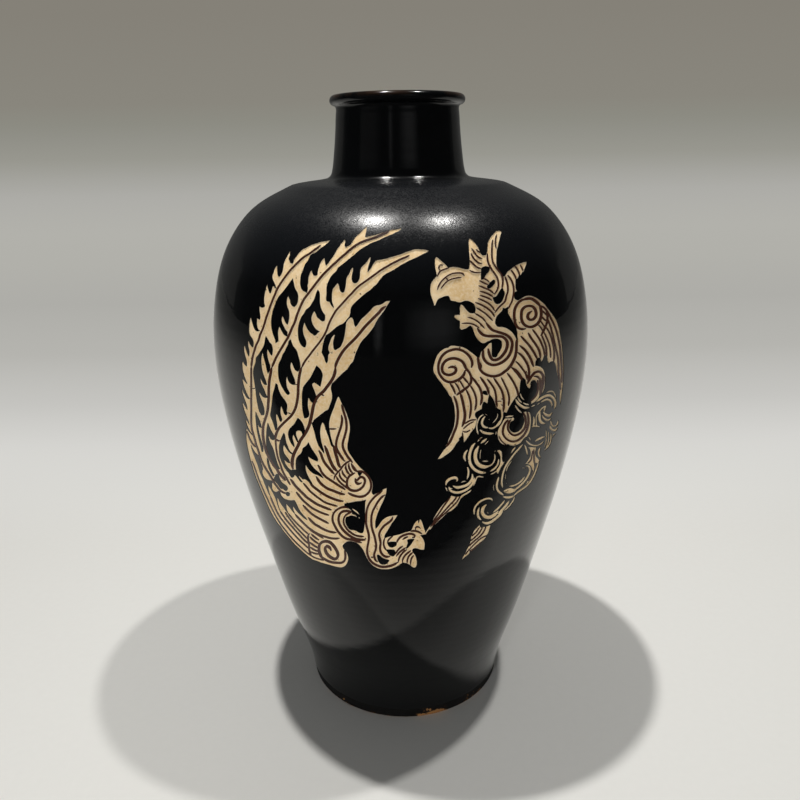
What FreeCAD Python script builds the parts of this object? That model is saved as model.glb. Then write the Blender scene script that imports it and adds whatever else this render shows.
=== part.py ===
import FreeCAD, Part
import math
import os

# Meiping vase of black-glazed stoneware, in millimetres.
# Z is the turning axis, the foot stands on Z = 0 and the front faces -Y.
# It is thrown in sections that lap at their edges and are joined with slip,
# then coated with glaze inside and out, apart from the foot.

# Overall sizes, over the glaze: foot to belly, belly to root of the neck, neck and lip
lower_body_height = 212.0
upper_body_height = 87.6
neck_height = 40.4
foot_radius = 58.9
belly_radius = 102.4
neck_foot_radius = 34.9
neck_top_radius = 31.8

# Clay walls and floor
foot_wall = 9.5
belly_wall = 6.8
neck_wall = 4.4
floor_thickness = 12.0

# Coats of glaze and joints of slip
outer_glaze_thickness = 0.7
inner_glaze_thickness = 0.5
glaze_line_height = 2.4
lute_thickness = 0.8

# Underside of the foot
foot_bevel = 1.2
foot_ring_width = 12.0
foot_recess_depth = 3.6
foot_recess_draft = 2.0

# Root of the neck, with slopes in degrees
neck_fillet_radius = 4.2
shoulder_slope = 8.0
neck_slope = 14.0

# Rolled mouth
lip_bead_radius = 2.5
lip_bead_overhang = 0.4
mouth_roll_radius = 6.0

# Joints between the sections: their places, and how far one edge laps the other
foot_joint_height = 104.0
shoulder_joint_above_belly = 14.0
body_joint_lap = 5.0
neck_joint_rise = 0.4
neck_joint_lap = 4.0
mouth_ring_height = 5.8
mouth_joint_lap = 1.3

# Wall from foot to belly: share of the height, share of the swell
lower_wall_shares = [(0.08, 0.045), (0.2, 0.215), (0.4, 0.48), (0.6, 0.72), (0.8, 0.91), (0.92, 0.983)]
# Wall from belly to neck: share of the height, share of the way in
upper_wall_shares = [(0.14, 0.007), (0.37, 0.053), (0.57, 0.135), (0.75, 0.28), (0.88, 0.478), (0.955, 0.685)]
# Neck: share of the height, share of the taper still to come
neck_shares = [(0.35, 0.46), (0.7, 0.1)]
# Inside of the floor: share of the hollow's radius, rise as a share of the floor's thickness
floor_shares = [(0.0, 0.0), (0.42, 0.05), (0.74, 0.36), (0.92, 1.15)]

UP = FreeCAD.Vector(0, 0, 1)
OUT = FreeCAD.Vector(1, 0, 0)
FULL_TURN = 360


def point(radius, height):
    return FreeCAD.Vector(radius, 0, height)


def heading(angle):
    # Unit vector at an angle above the horizontal, in the plane of the profile
    return point(math.cos(angle), math.sin(angle))


# Values that follow from the sizes
belly_height = lower_body_height
shoulder_height = belly_height + upper_body_height
vase_height = shoulder_height + neck_height
shoulder_joint_height = belly_height + shoulder_joint_above_belly
mouth_joint_height = vase_height - mouth_ring_height
clay_depth = outer_glaze_thickness
foot_start = point(foot_radius, foot_bevel)
shoulder_normal = heading(math.radians(90 - shoulder_slope))
neck_normal = heading(math.radians(neck_slope))
root_normal = (shoulder_normal + neck_normal).normalize()
fillet_centre = point(neck_foot_radius, 0) + neck_normal * neck_fillet_radius
fillet_centre.z = shoulder_height + shoulder_normal.z * neck_fillet_radius
bead_centre = point(neck_top_radius + lip_bead_overhang, vase_height - lip_bead_radius)
roll_centre = point(bead_centre.x, vase_height - mouth_roll_radius)
body_ends = (UP, point(-shoulder_normal.z, shoulder_normal.x))
neck_ends = (point(-neck_normal.z, neck_normal.x), UP)
beyond = 2 * vase_height


def curve(points, ends):
    spline = Part.BSplineCurve()
    spline.interpolate(Points=points, InitialTangent=ends[0], FinalTangent=ends[1])
    return spline


def arc(centre, radius, directions):
    points = [centre + direction * radius for direction in directions]
    return Part.Arc(*points).toShape()


def line(start, end):
    return Part.LineSegment(start, end).toShape()


def moved_in(points, ends, depths):
    # The same points, each moved square to their curve: into the wall, or into the hollow
    spline = curve(points, ends)
    moved = []
    for place, depth in zip(points, depths):
        along = spline.tangent(spline.parameter(place))[0]
        moved.append(place + point(-along.z, along.x) * depth)
    return moved


def root_edge(depth):
    directions = (-shoulder_normal, -root_normal, -neck_normal)
    return arc(fillet_centre, neck_fillet_radius + depth, directions)


def root_end(normal, depth):
    return fillet_centre - normal * (neck_fillet_radius + depth)


def bead_root(depth):
    # Where the upright top of the neck meets the underside of the lip
    bead_radius = lip_bead_radius - depth
    offset = bead_centre.x - (neck_top_radius - depth)
    return bead_centre + point(-offset, -math.sqrt(bead_radius**2 - offset**2))


def body_points():
    # Glazed surface from the foot to the root of the neck
    top = root_end(shoulder_normal, 0)
    swell = belly_radius - foot_radius
    points = [foot_start]
    for up, out in lower_wall_shares:
        height = foot_start.z + up * (belly_height - foot_start.z)
        points.append(point(foot_radius + out * swell, height))
    points.append(point(belly_radius, belly_height))
    for up, back in upper_wall_shares:
        height = belly_height + up * (top.z - belly_height)
        points.append(point(belly_radius - back * (belly_radius - top.x), height))
    points.append(top)
    return points


def neck_points():
    # Glazed surface of the neck, from its root to the lip
    foot = root_end(neck_normal, 0)
    top = bead_root(0)
    points = [foot]
    for up, taper in neck_shares:
        points.append(point(top.x + taper * (foot.x - top.x), foot.z + up * (top.z - foot.z)))
    points.append(top)
    return points


def wall_at(height):
    # The wall thins from the foot to the belly, and again to the neck
    if height < belly_height:
        return foot_wall + (belly_wall - foot_wall) * height / belly_height
    return belly_wall + (neck_wall - belly_wall) * (height - belly_height) / (shoulder_height - belly_height)


def hollow_points():
    # Clay surface of the hollow, from the middle of the floor to the root of the neck
    outside = body_points()
    depths = [clay_depth + wall_at(place.z) for place in outside]
    floor_heights = [floor_thickness * (1 + rise) for out, rise in floor_shares]
    wall = [place for place in moved_in(outside, body_ends, depths) if place.z > max(floor_heights)]
    floor = [point(out * wall[0].x, height) for (out, rise), height in zip(floor_shares, floor_heights)]
    return floor + wall


def outer_edges(depth):
    # The outside at a depth under the glaze, from the foot to the crest of the lip
    body = body_points()
    body = moved_in(body, body_ends, [depth] * len(body))
    neck = neck_points()
    neck = moved_in(neck, neck_ends, [depth] * len(neck))
    neck[-1] = bead_root(depth)
    bead_radius = lip_bead_radius - depth
    bead = Part.Arc(neck[-1], bead_centre + OUT * bead_radius, bead_centre + UP * bead_radius)
    return [
        curve(body, body_ends).toShape(),
        root_edge(depth),
        curve(neck, neck_ends).toShape(),
        bead.toShape(),
    ]


def inner_edges(cover, crest_cover):
    # The hollow under a cover of glaze, from the middle of the floor to the crest of the lip
    ends = (OUT, body_ends[1])
    body = hollow_points()
    body = moved_in(body, ends, [cover] * len(body))
    depth = clay_depth + neck_wall + cover
    roll_radius = mouth_roll_radius - clay_depth + crest_cover
    neck = neck_points()
    neck = moved_in(neck, neck_ends, [depth] * len(neck))
    neck[-1] = roll_centre - OUT * roll_radius
    diagonal = (UP - OUT).normalize()
    return [
        curve(body, ends).toShape(),
        root_edge(depth),
        curve(neck, neck_ends).toShape(),
        arc(roll_centre, roll_radius, (-OUT, diagonal, UP)),
    ]


def face_of(edges):
    return Part.Face(Part.Wire(Part.sortEdges(edges)[0]))


def polygon(points):
    return Part.Face(Part.makePolygon(points + points[:1]))


def turned(face):
    return face.revolve(FreeCAD.Vector(), UP, FULL_TURN)


def clay_face():
    # Half section of all the clay
    outside = outer_edges(clay_depth)
    inside = inner_edges(0, 0)
    ring_outer = foot_radius - clay_depth - foot_bevel
    ring_inner = ring_outer - foot_ring_width
    underside = [
        point(0, floor_thickness),
        point(0, foot_recess_depth),
        point(ring_inner - foot_recess_draft, foot_recess_depth),
        point(ring_inner, 0),
        point(ring_outer, 0),
        point(foot_radius - clay_depth, foot_bevel),
    ]
    underside = [line(a, b) for a, b in zip(underside, underside[1:])]
    return face_of(outside + inside + underside)


def outer_glaze_face():
    # Half section of the outer coat, from the glaze line to the crest of the lip
    crest = bead_centre + UP * lip_bead_radius
    ends = [
        line(crest, crest - UP * clay_depth),
        line(foot_start, foot_start - OUT * clay_depth),
    ]
    coat = face_of(outer_edges(0) + outer_edges(clay_depth) + ends)
    above = level_path(glaze_line_height)
    return coat.common(between(above, level_path(beyond)))


def inner_glaze_face():
    # Half section of the inner coat, from the crest of the lip to the floor
    crest = bead_centre + UP * lip_bead_radius
    floor = point(0, floor_thickness)
    ends = [
        line(crest, crest - UP * clay_depth),
        line(floor, floor + UP * inner_glaze_thickness),
    ]
    return face_of(inner_edges(0, 0) + inner_edges(inner_glaze_thickness, clay_depth) + ends)


def level_path(height):
    return [point(beyond, height), point(0, height)]


def lap_path(radius, height, lap):
    # A joint seen in section: level outside, a step at the radius, level inside
    return [point(beyond, height), point(radius, height), point(radius, height + lap), point(0, height + lap)]


def between(lower, upper):
    return polygon(lower + upper[::-1])


def middle_of_wall(clay, height):
    crossing = clay.common(line(point(0, height), point(beyond, height))).BoundBox
    return (crossing.XMin + crossing.XMax) / 2


def joint(clay, height, lap, radius=None):
    # Lower and upper face of the slip in a joint
    if radius is None:
        radius = middle_of_wall(clay, height)
    slip = math.copysign(lute_thickness, lap)
    lower = lap_path(radius, height, lap)
    upper = lap_path(radius + slip, height + lute_thickness, lap)
    return lower, upper


def build():
    clay = clay_face()
    neck_joint_height = root_end(shoulder_normal, clay_depth).z + neck_joint_rise
    spigot_radius = (root_end(neck_normal, clay_depth).x + root_end(neck_normal, clay_depth + neck_wall).x) / 2
    joints = [
        joint(clay, foot_joint_height, body_joint_lap),
        joint(clay, shoulder_joint_height, body_joint_lap),
        joint(clay, neck_joint_height, -neck_joint_lap, spigot_radius),
        joint(clay, mouth_joint_height, mouth_joint_lap),
    ]
    bottoms = [level_path(-beyond)] + [upper for lower, upper in joints]
    tops = [lower for lower, upper in joints] + [level_path(beyond)]
    sections = ["foot_section", "belly_section", "shoulder_section", "neck_collar", "mouth_ring"]
    lutes = ["foot_lute", "shoulder_lute", "neck_lute", "mouth_lute"]

    faces = {}
    for name, bottom, top in zip(sections, bottoms, tops):
        faces[name] = clay.common(between(bottom, top))
    for name, (lower, upper) in zip(lutes, joints):
        faces[name] = clay.common(between(lower, upper))
    faces["outer_glaze"] = outer_glaze_face()
    faces["inner_glaze"] = inner_glaze_face()

    os.makedirs("parts", exist_ok=True)
    for name, face in faces.items():
        solids = [turned(piece) for piece in face.Faces]
        shape = solids[0] if len(solids) == 1 else Part.makeCompound(solids)
        shape.exportStep(f"parts/{name}.step")
        box = shape.BoundBox
        print(f"{name}: {len(solids)} solid, {shape.Volume / 1000:.1f} cm3, valid {shape.isValid()},"
              f" radius {box.XMax:.1f}, {box.ZMin:.1f} to {box.ZMax:.1f}")


build()
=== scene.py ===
import math

import bpy
import numpy as np
from mathutils import Matrix, Vector, kdtree
from mathutils.bvhtree import BVHTree
from mathutils.geometry import delaunay_2d_cdt


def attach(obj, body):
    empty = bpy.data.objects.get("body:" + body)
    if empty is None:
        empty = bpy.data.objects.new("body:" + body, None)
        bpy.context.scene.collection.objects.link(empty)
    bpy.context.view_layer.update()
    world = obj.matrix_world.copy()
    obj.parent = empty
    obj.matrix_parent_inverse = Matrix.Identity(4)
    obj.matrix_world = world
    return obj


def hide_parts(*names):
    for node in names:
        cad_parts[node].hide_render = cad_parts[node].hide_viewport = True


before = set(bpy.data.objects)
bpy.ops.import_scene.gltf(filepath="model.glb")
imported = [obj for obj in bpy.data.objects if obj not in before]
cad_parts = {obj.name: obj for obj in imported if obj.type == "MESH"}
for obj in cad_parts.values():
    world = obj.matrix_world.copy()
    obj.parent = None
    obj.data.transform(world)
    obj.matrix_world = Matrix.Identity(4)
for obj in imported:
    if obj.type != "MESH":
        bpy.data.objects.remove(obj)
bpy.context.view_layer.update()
print("frame loaded:", len(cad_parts), "nodes")

scene = bpy.context.scene
scene.view_settings.view_transform = "Standard"

# the camera that was fitted to the vase's outline, metres and degrees
cameraValues = {
    "place": Vector((-0.0009, -0.4075, 0.3126)),
    "lookDown": 18.56,
    "roll": -0.85,
    "lens": 33.3,
    "sensor": 36.0,
    "photoSide": 800.0,
    "clipStart": 0.02,
    "reach": (0.2, 0.62),       # the vase lies between these distances
}


def addCamera():
    data = bpy.data.cameras.new("photoCamera")
    data.lens = cameraValues["lens"]
    data.sensor_width = cameraValues["sensor"]
    data.clip_start = cameraValues["clipStart"]
    camera = bpy.data.objects.new("photoCamera", data)
    tilt = Matrix.Rotation(math.radians(90 - cameraValues["lookDown"]), 4, "X")
    roll = Matrix.Rotation(math.radians(cameraValues["roll"]), 4, "Z")
    camera.matrix_world = Matrix.Translation(cameraValues["place"]) @ tilt @ roll
    scene.collection.objects.link(camera)
    scene.camera = camera
    return camera


camera = addCamera()
print("camera placed")


# the outer face of the glaze, read from the frame

glazeValues = {
    "thickness": 0.0007,        # the coat, as in the frame
    "cutDepth": 0.00042,        # how deep the bare clay lies below the glaze
    "rimWidth": 0.00045,        # paler clay along each cut
    "rimLift": 0.00012,         # how far that clay stands above the rest
    "clayLift": 0.00002,        # gap between the carved clay and the body under it
    "toolDepth": 0.00003,       # tool marks in the clay
    "toolWaves": (1.9, 0.7, 1.3),   # how fast they wave, in radians per millimetre
    "columns": 120,
    "rowStep": 0.0026,
    "fineRowStep": 0.0007,      # rows in the neck's root and the lip
    "leastRowStep": 0.0003,
    "sharpBend": 0.16,          # radians over a row, past which the rows are fine
}


def readProfile(node, seamTolerance=1e-6, faceTolerance=5e-5):
    # seam vertices of the revolved coat, the outer ones only, from the foot up
    tree = BVHTree.FromPolygons([v.co for v in node.data.vertices],
                                [p.vertices[:] for p in node.data.polygons])
    outer = []
    for vertex in node.data.vertices:
        x, y, z = vertex.co
        if abs(y) > seamTolerance or x < 0:
            continue
        hit = tree.ray_cast(Vector((1.0, 1e-5, z - 1e-6)), Vector((-1.0, 0.0, 0.0)))[0]
        if hit is not None and abs(hit.x - x) < faceTolerance:
            outer.append((round(x, 7), round(z, 7)))
    crest = max((v.co.z, v.co.x) for v in node.data.vertices if abs(v.co.y) < seamTolerance)
    outer.append((round(crest[1], 7), round(crest[0], 7)))
    outer = sorted(set(outer), key=lambda point: (point[1], -point[0]))
    return np.array(outer)


def hermite(points, closed, step):
    # a smooth line through the points, sampled about every step
    count = len(points)
    if count < 3 and not closed:
        length = np.linalg.norm(points[1] - points[0])
        share = np.linspace(0, 1, max(2, int(math.ceil(length / step)) + 1))[:, None]
        return points[0] * (1 - share) + points[1] * share
    after = np.roll(points, -1, axis=0)
    gaps = np.linalg.norm(after - points, axis=1)
    slopes = (after - points) / np.maximum(gaps, 1e-12)[:, None]
    before = np.roll(slopes, 1, axis=0)
    gapsBefore = np.roll(gaps, 1)
    weight = (gapsBefore / np.maximum(gaps + gapsBefore, 1e-12))[:, None]
    tangents = before * (1 - weight) + slopes * weight
    if not closed:
        tangents[0] = 1.5 * slopes[0] - 0.5 * tangents[1]
        tangents[-1] = 1.5 * slopes[-2] - 0.5 * tangents[-2]
    line = []
    for i in range(count if closed else count - 1):
        j = (i + 1) % count
        steps = max(1, int(round(gaps[i] / step)))
        t = (np.arange(steps) / steps)[:, None]
        line.append((2 * t**3 - 3 * t**2 + 1) * points[i] + (3 * t**2 - 2 * t**3) * points[j]
                    + ((t**3 - 2 * t**2 + t) * tangents[i] + (t**3 - t**2) * tangents[j]) * gaps[i])
    if not closed:
        line.append(points[-1:])
    return np.concatenate(line)


profileDense = hermite(readProfile(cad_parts["outer_glaze"]), False, 0.0002)
profileLength = np.concatenate([[0.0], np.cumsum(np.linalg.norm(np.diff(profileDense, axis=0), axis=1))])
profileSlope = np.gradient(profileDense, axis=0)
profileSlope /= np.linalg.norm(profileSlope, axis=1)[:, None]
print("profile:", len(profileDense), "points,", round(profileLength[-1] * 1000, 1), "mm along it")


def surfacePoints(turn, along, depth):
    # places and outward normals on the outer face; turn 0 is the front, along runs up the profile
    radius = np.interp(along, profileLength, profileDense[:, 0])
    height = np.interp(along, profileLength, profileDense[:, 1])
    slopeR = np.interp(along, profileLength, profileSlope[:, 0])
    slopeZ = np.interp(along, profileLength, profileSlope[:, 1])
    size = np.hypot(slopeR, slopeZ)
    normalR = slopeZ / size
    normalZ = -slopeR / size
    radius = radius - depth * normalR
    height = height - depth * normalZ
    places = np.stack([radius * np.sin(turn), -radius * np.cos(turn), height], axis=-1)
    normals = np.stack([normalR * np.sin(turn), -normalR * np.cos(turn), normalZ], axis=-1)
    return places, normals


def pixelsOnVase(pixels, marchSteps=500, halvings=18):
    # where the sight line through each pixel meets the outer face: turn and along
    focal = cameraValues["lens"] / cameraValues["sensor"] * cameraValues["photoSide"]
    half = cameraValues["photoSide"] / 2
    turned = np.array(camera.matrix_world.to_3x3())
    local = np.stack([(pixels[:, 0] - half) / focal, (half - pixels[:, 1]) / focal,
                      -np.ones(len(pixels))], axis=1)
    ways = local @ turned.T
    ways /= np.linalg.norm(ways, axis=1)[:, None]
    start = np.array(cameraValues["place"])
    heights = profileDense[:, 1]
    radii = profileDense[:, 0]

    def clearance(distance):
        at = start + ways * distance[:, None]
        return np.hypot(at[:, 0], at[:, 1]) - np.interp(at[:, 2], heights, radii)

    # march along each line to the first place inside, then halve the last step
    nearEnd, farEnd = cameraValues["reach"]
    nearest = np.full(len(pixels), nearEnd)
    least = np.full(len(pixels), np.inf)
    inside = np.zeros(len(pixels), bool)
    for distance in np.linspace(nearEnd, farEnd, marchSteps):
        now = clearance(np.full(len(pixels), distance))
        closer = (~inside) & (now < least)
        least[closer] = now[closer]
        nearest[closer] = distance
        inside |= now < 0
    low = nearest - 1.5 * (farEnd - nearEnd) / marchSteps
    high = nearest.copy()
    for _ in range(halvings):
        middle = (low + high) / 2
        within = clearance(middle) < 0
        high = np.where(inside & within, middle, high)
        low = np.where(inside & ~within, middle, low)
    distance = np.where(inside, (low + high) / 2, nearest)
    at = start + ways * distance[:, None]
    turn = np.arctan2(at[:, 0], -at[:, 1])
    along = np.interp(at[:, 2], heights, profileLength)
    return turn, along


# the carving, drawn over the photograph in its own pixels; a third value of 1 marks a sharp corner

birdCuts = [
    # the four long feathers of the left bird's raised wing
    [(330, 240.1, 1), (324.5, 241), (320, 242), (314.5, 243.8), (310, 245.2), (307, 247), (302, 249.5),
     (298.5, 253), (295.5, 257), (293.5, 260), (293, 262.5), (292, 263.7), (290.5, 263.2), (289.5, 261),
     (288.5, 258.5), (289.3, 257), (290.5, 252), (291.1, 250.7, 1), (289, 252.2), (287.2, 255.5),
     (285, 259.5), (283.7, 263), (283, 267.5), (282.2, 271.5), (281, 274.2), (279, 276.7), (277.7, 275),
     (277.2, 271.5), (277, 264.7, 1), (274.7, 268), (273, 273), (272, 276), (272.5, 279), (273.7, 282),
     (275.2, 285.5), (276.1, 288.7, 1), (274.7, 288), (273.7, 285.7, 1), (272.5, 286.5), (271.5, 289.5),
     (270, 293.5), (268.2, 289.5), (267, 284.5, 1), (266, 286.5), (265.2, 290), (264.2, 294.5),
     (264, 303), (264.5, 306.5), (262, 307.8), (259.2, 305.7, 1), (259.2, 310), (259.7, 314), (260, 318),
     (259.5, 319.7, 1), (258.2, 319), (256.9, 318, 1), (256.5, 322), (256.9, 326), (257.7, 329),
     (260, 330.6, 1), (257, 331.5), (255, 330), (253.5, 327), (252.2, 323), (250.5, 316.5, 1),
     (249.1, 324), (248.8, 329), (249.1, 333.5), (250.2, 336), (252, 338.5), (253, 341), (253.2, 344),
     (252.7, 347.5), (250, 344.5), (248.2, 340.2, 1), (247.7, 343), (248.2, 347), (249, 351),
     (248.7, 356.5, 1), (247.2, 353.5), (246, 350), (244.2, 345, 1), (243.7, 348), (243.9, 351.5),
     (245, 356), (246.2, 360.5), (246.5, 366.5, 1), (244.5, 364.5), (242.4, 360.5, 1), (241.9, 364),
     (242.2, 368.5), (243, 373, 1), (347, 369.7, 1), (348.5, 367), (350.5, 364), (352.5, 362),
     (354, 358.5), (355, 355), (356, 352), (357.5, 349), (359, 345.5), (361, 342), (363, 339.5),
     (365.5, 337), (368.5, 333.5), (371, 330.5), (373.5, 327), (375.5, 323), (377.5, 319.5),
     (379.5, 316.5), (382, 313.5), (384.5, 310), (386.5, 306.5), (390, 301, 1), (386, 301.5),
     (383, 303.5), (380, 305), (376, 305.7), (373, 307.5), (370.5, 310.5), (367.5, 313.5), (365, 316),
     (362, 318.5), (360, 321), (358.5, 323.5), (357, 325.5), (355.5, 327, 1), (354.5, 325.5),
     (353.7, 322.5), (353, 319.5), (352, 318), (350.6, 317.6, 1), (349.5, 316, 1), (350.2, 313),
     (350.5, 309.5), (351.5, 306.5), (353.5, 304), (356, 301.5), (359.7, 298.2), (363.3, 295),
     (367, 292), (370, 290), (373, 287), (376, 284.5), (379, 280.7), (381.5, 277.5), (384, 275),
     (389, 272), (393, 270), (397, 267.5), (400, 265.5), (405, 262.7), (410, 260.2), (415, 258),
     (420, 255.5), (424, 253.5), (427, 252), (429, 250.4, 1), (426, 249.7), (420, 249.2), (415, 249),
     (410, 250.7), (406, 252), (401, 254), (396, 255.5), (391, 257), (386, 258.5), (380, 259.7),
     (377, 260.2), (375, 261.5), (373.5, 263.5), (372, 266), (370.2, 269), (367.5, 272.2, 1),
     (367.7, 269), (368.5, 265.5), (369.5, 262.5), (370.9, 257, 1), (369.2, 257.7), (368, 260),
     (366, 262.5), (363.5, 265), (361.5, 267), (360.2, 269.5), (360, 273), (359.7, 276.5), (359, 279.5),
     (358, 281.5), (356.5, 282.9), (353.5, 282.9), (352.2, 281.2), (351.5, 278), (352, 274.5),
     (353, 269), (352.6, 267.2, 1), (350.2, 270.5), (349.2, 273.5), (347.5, 276), (346.2, 278.5),
     (346, 281.5), (345.2, 287.5), (344.5, 290.5), (343.5, 292.5), (342, 292.7), (340.5, 291.5),
     (339.5, 289), (339, 286), (337.6, 283, 1), (336.2, 284.5), (334.7, 286.5), (333, 288.5),
     (332, 292), (331.7, 297), (332, 302), (333, 305), (333.7, 307.8, 1), (332, 306.5), (330.5, 304),
     (329.5, 302), (327.2, 301.5), (326.4, 293), (326.7, 286), (327.7, 283), (329, 280), (330.5, 277),
     (333, 274), (336.5, 270.5), (338, 267.5), (340, 266), (344, 263), (348, 259.5), (352, 256.5),
     (356, 253), (359.5, 250), (363, 247.5), (367, 245.5), (370, 243.5), (375, 241.5), (380, 239.5),
     (385, 237), (388.5, 235.5), (392.5, 234), (396, 232.2), (399, 230.7), (402.3, 227.5, 1),
     (396, 229), (391, 229.7), (386, 231.2), (381, 232.7), (375, 234.7), (370, 235.7), (365.2, 236.7, 1),
     (365.5, 234.5), (366.2, 231.5), (366.8, 225.8, 1), (364.5, 228), (362, 230.5), (359, 233.5),
     (355.5, 236.5), (353.5, 239.5), (352, 242), (350.5, 244.5), (348, 245.7), (345.7, 247, 1),
     (344.7, 245.7), (345.2, 241.5), (344.9, 239.2, 1), (342, 242), (340, 245), (338, 247.5),
     (336.5, 250), (335, 253), (333, 256), (330.5, 259.5), (328.5, 262.5), (325.8, 265.3, 1),
     (325.1, 263), (324.7, 257.7, 1), (323, 259), (321.2, 261), (320, 263), (319, 266.5), (318, 269),
     (317.5, 272), (317, 275), (315.5, 275.8), (313.7, 275.5), (312.7, 274), (311.7, 270, 1),
     (310, 272), (309, 275), (308, 280), (308, 283), (307.2, 285.5), (307.7, 288), (307.5, 289.7, 1),
     (306.7, 293, 1), (305, 292), (302.5, 290.5), (301, 288), (300.2, 285), (300.2, 280),
     (300.7, 275.5), (302, 272), (303.5, 268), (305.2, 264), (308, 260), (309, 258), (311, 254.5),
     (316, 252), (320, 248.5), (324.5, 245.5), (328, 242.5)],
    # the left bird's body, lower wing, neck, crest and head
    [(243, 371, 1), (244.3, 377), (246, 381.5), (247, 384, 1), (245.3, 382.3), (242, 378.5, 1),
     (242.8, 383.5), (245, 390), (247.3, 395.5), (250, 399.3, 1), (247.5, 398.6), (244.5, 394.5),
     (241.3, 387.5, 1), (242.3, 393.5), (244.5, 400), (246.3, 405), (247, 410, 1), (245, 406.5),
     (242, 401.5, 1), (243, 407), (245.3, 414), (247.7, 420), (249.2, 424.7, 1), (247.5, 422),
     (245.2, 419, 1), (246.3, 424), (249, 430), (252.5, 435.6, 1), (249.5, 432.5), (245.8, 428, 1),
     (246, 433), (246, 439), (247, 446), (249, 455), (251, 463), (253.5, 471), (256, 478),
     (259, 485.5), (262.5, 494), (266, 502), (269.5, 510), (272.5, 515.5), (275, 519.5),
     (277.5, 523.5), (280.5, 527), (283, 531), (286, 534.5), (288.5, 537.5), (291, 540.5),
     (294, 544), (297, 547), (300, 549.7), (303, 552.5), (306, 555.2), (309, 557.5), (312, 559.5),
     (316, 561), (320, 562.5), (324, 563.8), (328, 564.8), (332, 566), (337, 567.2), (341, 567.7),
     (343.5, 567), (346, 564.7), (347.5, 562), (348.1, 559), (347.7, 555.5), (346.7, 552.8),
     (345.3, 551, 1), (344, 549.5), (342.8, 547.5), (342.6, 545.5), (344.2, 543.8), (346.5, 542),
     (349.5, 541.4), (353, 542), (356.5, 543.2), (359.5, 545.5), (362, 548.5), (364, 552),
     (365.3, 555), (367, 558.5), (369.5, 562.3), (372.5, 565.5), (376, 567.8), (380, 569.2),
     (385, 569.6), (390, 569.2), (394, 568), (398, 566), (401, 564), (403, 562.8, 1), (406, 563.5),
     (409, 564.7), (411, 566.2), (412.5, 567.4), (414, 568), (415.5, 567.5), (416.5, 565.5),
     (416.6, 561), (415.8, 557), (414.5, 554.5), (413, 552.5), (412, 551, 1), (413, 549.2),
     (415, 548.5), (418, 549), (421, 550), (424, 550, 1), (424.5, 546.5), (424.5, 543),
     (423.5, 540), (422, 537.5), (420.3, 535.6, 1), (423.5, 535, 1), (425.6, 534.6, 1),
     (425, 531.5), (423.8, 528), (423, 525.3), (422, 522.5), (421, 520.3), (420, 519.2, 1),
     (419.2, 521.8), (418.6, 523.7), (418, 520, 1), (416, 522), (414, 524.5), (413, 527),
     (411.5, 530), (410, 531.2, 1), (407.5, 532), (405, 532.5), (403, 533.3), (400, 534.3),
     (396, 535.3), (393, 536), (390, 536.5), (387.5, 537.4), (385, 538.3, 1), (384.3, 537.3, 1),
     (384.8, 535), (386.5, 532.3), (388.5, 529), (390.5, 525.5), (392.5, 522.5), (394.5, 520),
     (396, 517.8), (397.4, 515.2, 1), (395, 515.5), (392, 516), (389, 516.5), (386.5, 517.4),
     (384, 519), (381.5, 521.5), (379.5, 524.5), (377.5, 527.3), (375.4, 529, 1), (375.2, 524),
     (375.5, 520), (376.5, 516.5), (377.5, 513.5), (379, 510), (380.5, 506.5), (382.5, 502.5),
     (384, 499), (385.2, 496), (386, 493), (386.5, 488.3, 1), (383, 489.7), (380, 491.5),
     (377, 493.3), (373.5, 495, 1), (371.8, 493), (372.3, 488.5), (372.6, 484.5), (372, 481),
     (370.5, 478), (368.5, 475), (366, 472.5), (364, 471), (361.5, 469), (359.5, 467), (357, 464),
     (354.5, 461), (352.5, 458), (350.5, 455), (348.5, 452), (347.5, 449), (347.4, 444.5),
     (348.2, 440), (349, 435), (349.8, 430), (349.8, 427), (349.3, 423), (348.5, 419.5),
     (347.5, 416.5), (346.5, 413.5), (345.3, 410.5), (344, 407.7), (342.5, 405), (341, 402),
     (339.9, 399.5), (338.4, 396.5, 1), (337, 399), (335.8, 402), (334.6, 405.5), (333.6, 408.5),
     (332.3, 411.5), (331, 415), (330, 418.2), (329.3, 421.5), (329, 425), (329.2, 428.3),
     (329.8, 432), (330.5, 436), (331.5, 440), (332.7, 444), (333.8, 448, 1), (331.3, 446),
     (329.8, 441.5), (328.2, 436.5), (326.5, 432), (325, 427.5), (324, 424.5), (322.6, 422.3, 1),
     (321.2, 425), (320.3, 429), (320, 433), (320.5, 437.5), (321.3, 442), (322.3, 446),
     (323.7, 450), (324.2, 453.8, 1), (322, 451), (320.3, 448.5), (318.3, 445.5), (317, 442),
     (315.7, 438.5), (315, 435), (314, 431), (312.7, 427), (311.3, 423, 1), (312.7, 422),
     (313.8, 420), (315.5, 418.5), (317.5, 417), (320, 415), (322.5, 413), (325, 411), (328, 409.5),
     (329.5, 406), (330.5, 403), (331.8, 399), (332, 396), (331.5, 392), (330.8, 389), (331, 386),
     (332, 383.3, 1), (334, 381.5), (336, 379.5), (338, 377.5), (340, 375.5), (342, 373.5),
     (345, 371), (348, 367.2, 1)],
    # the tip of the right bird's tail, which reaches the left bird's beak
    [(424.3, 533.8, 1), (426, 532), (428, 529), (430.5, 525.5), (433.8, 521.5, 1), (432.9, 520, 1),
     (434.5, 517), (437, 512.7), (440, 508.3), (444, 503.5), (448, 499.3), (451.5, 495.8, 1),
     (456, 496.8), (461, 496.2), (466, 493.7), (471.5, 490, 1), (468, 492.7), (465, 495),
     (462.5, 497.5), (460.5, 499.5), (459, 502.5), (457.3, 505.5), (455, 508), (452.5, 510.3),
     (450, 511.8, 1), (448, 512.5), (445, 515.5), (441.5, 518.8), (438.5, 521.5), (435.3, 524.6, 1),
     (434.3, 524.3, 1), (432.5, 526.5), (430.5, 529.7), (429.3, 530.7, 1), (429.6, 529, 1),
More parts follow.
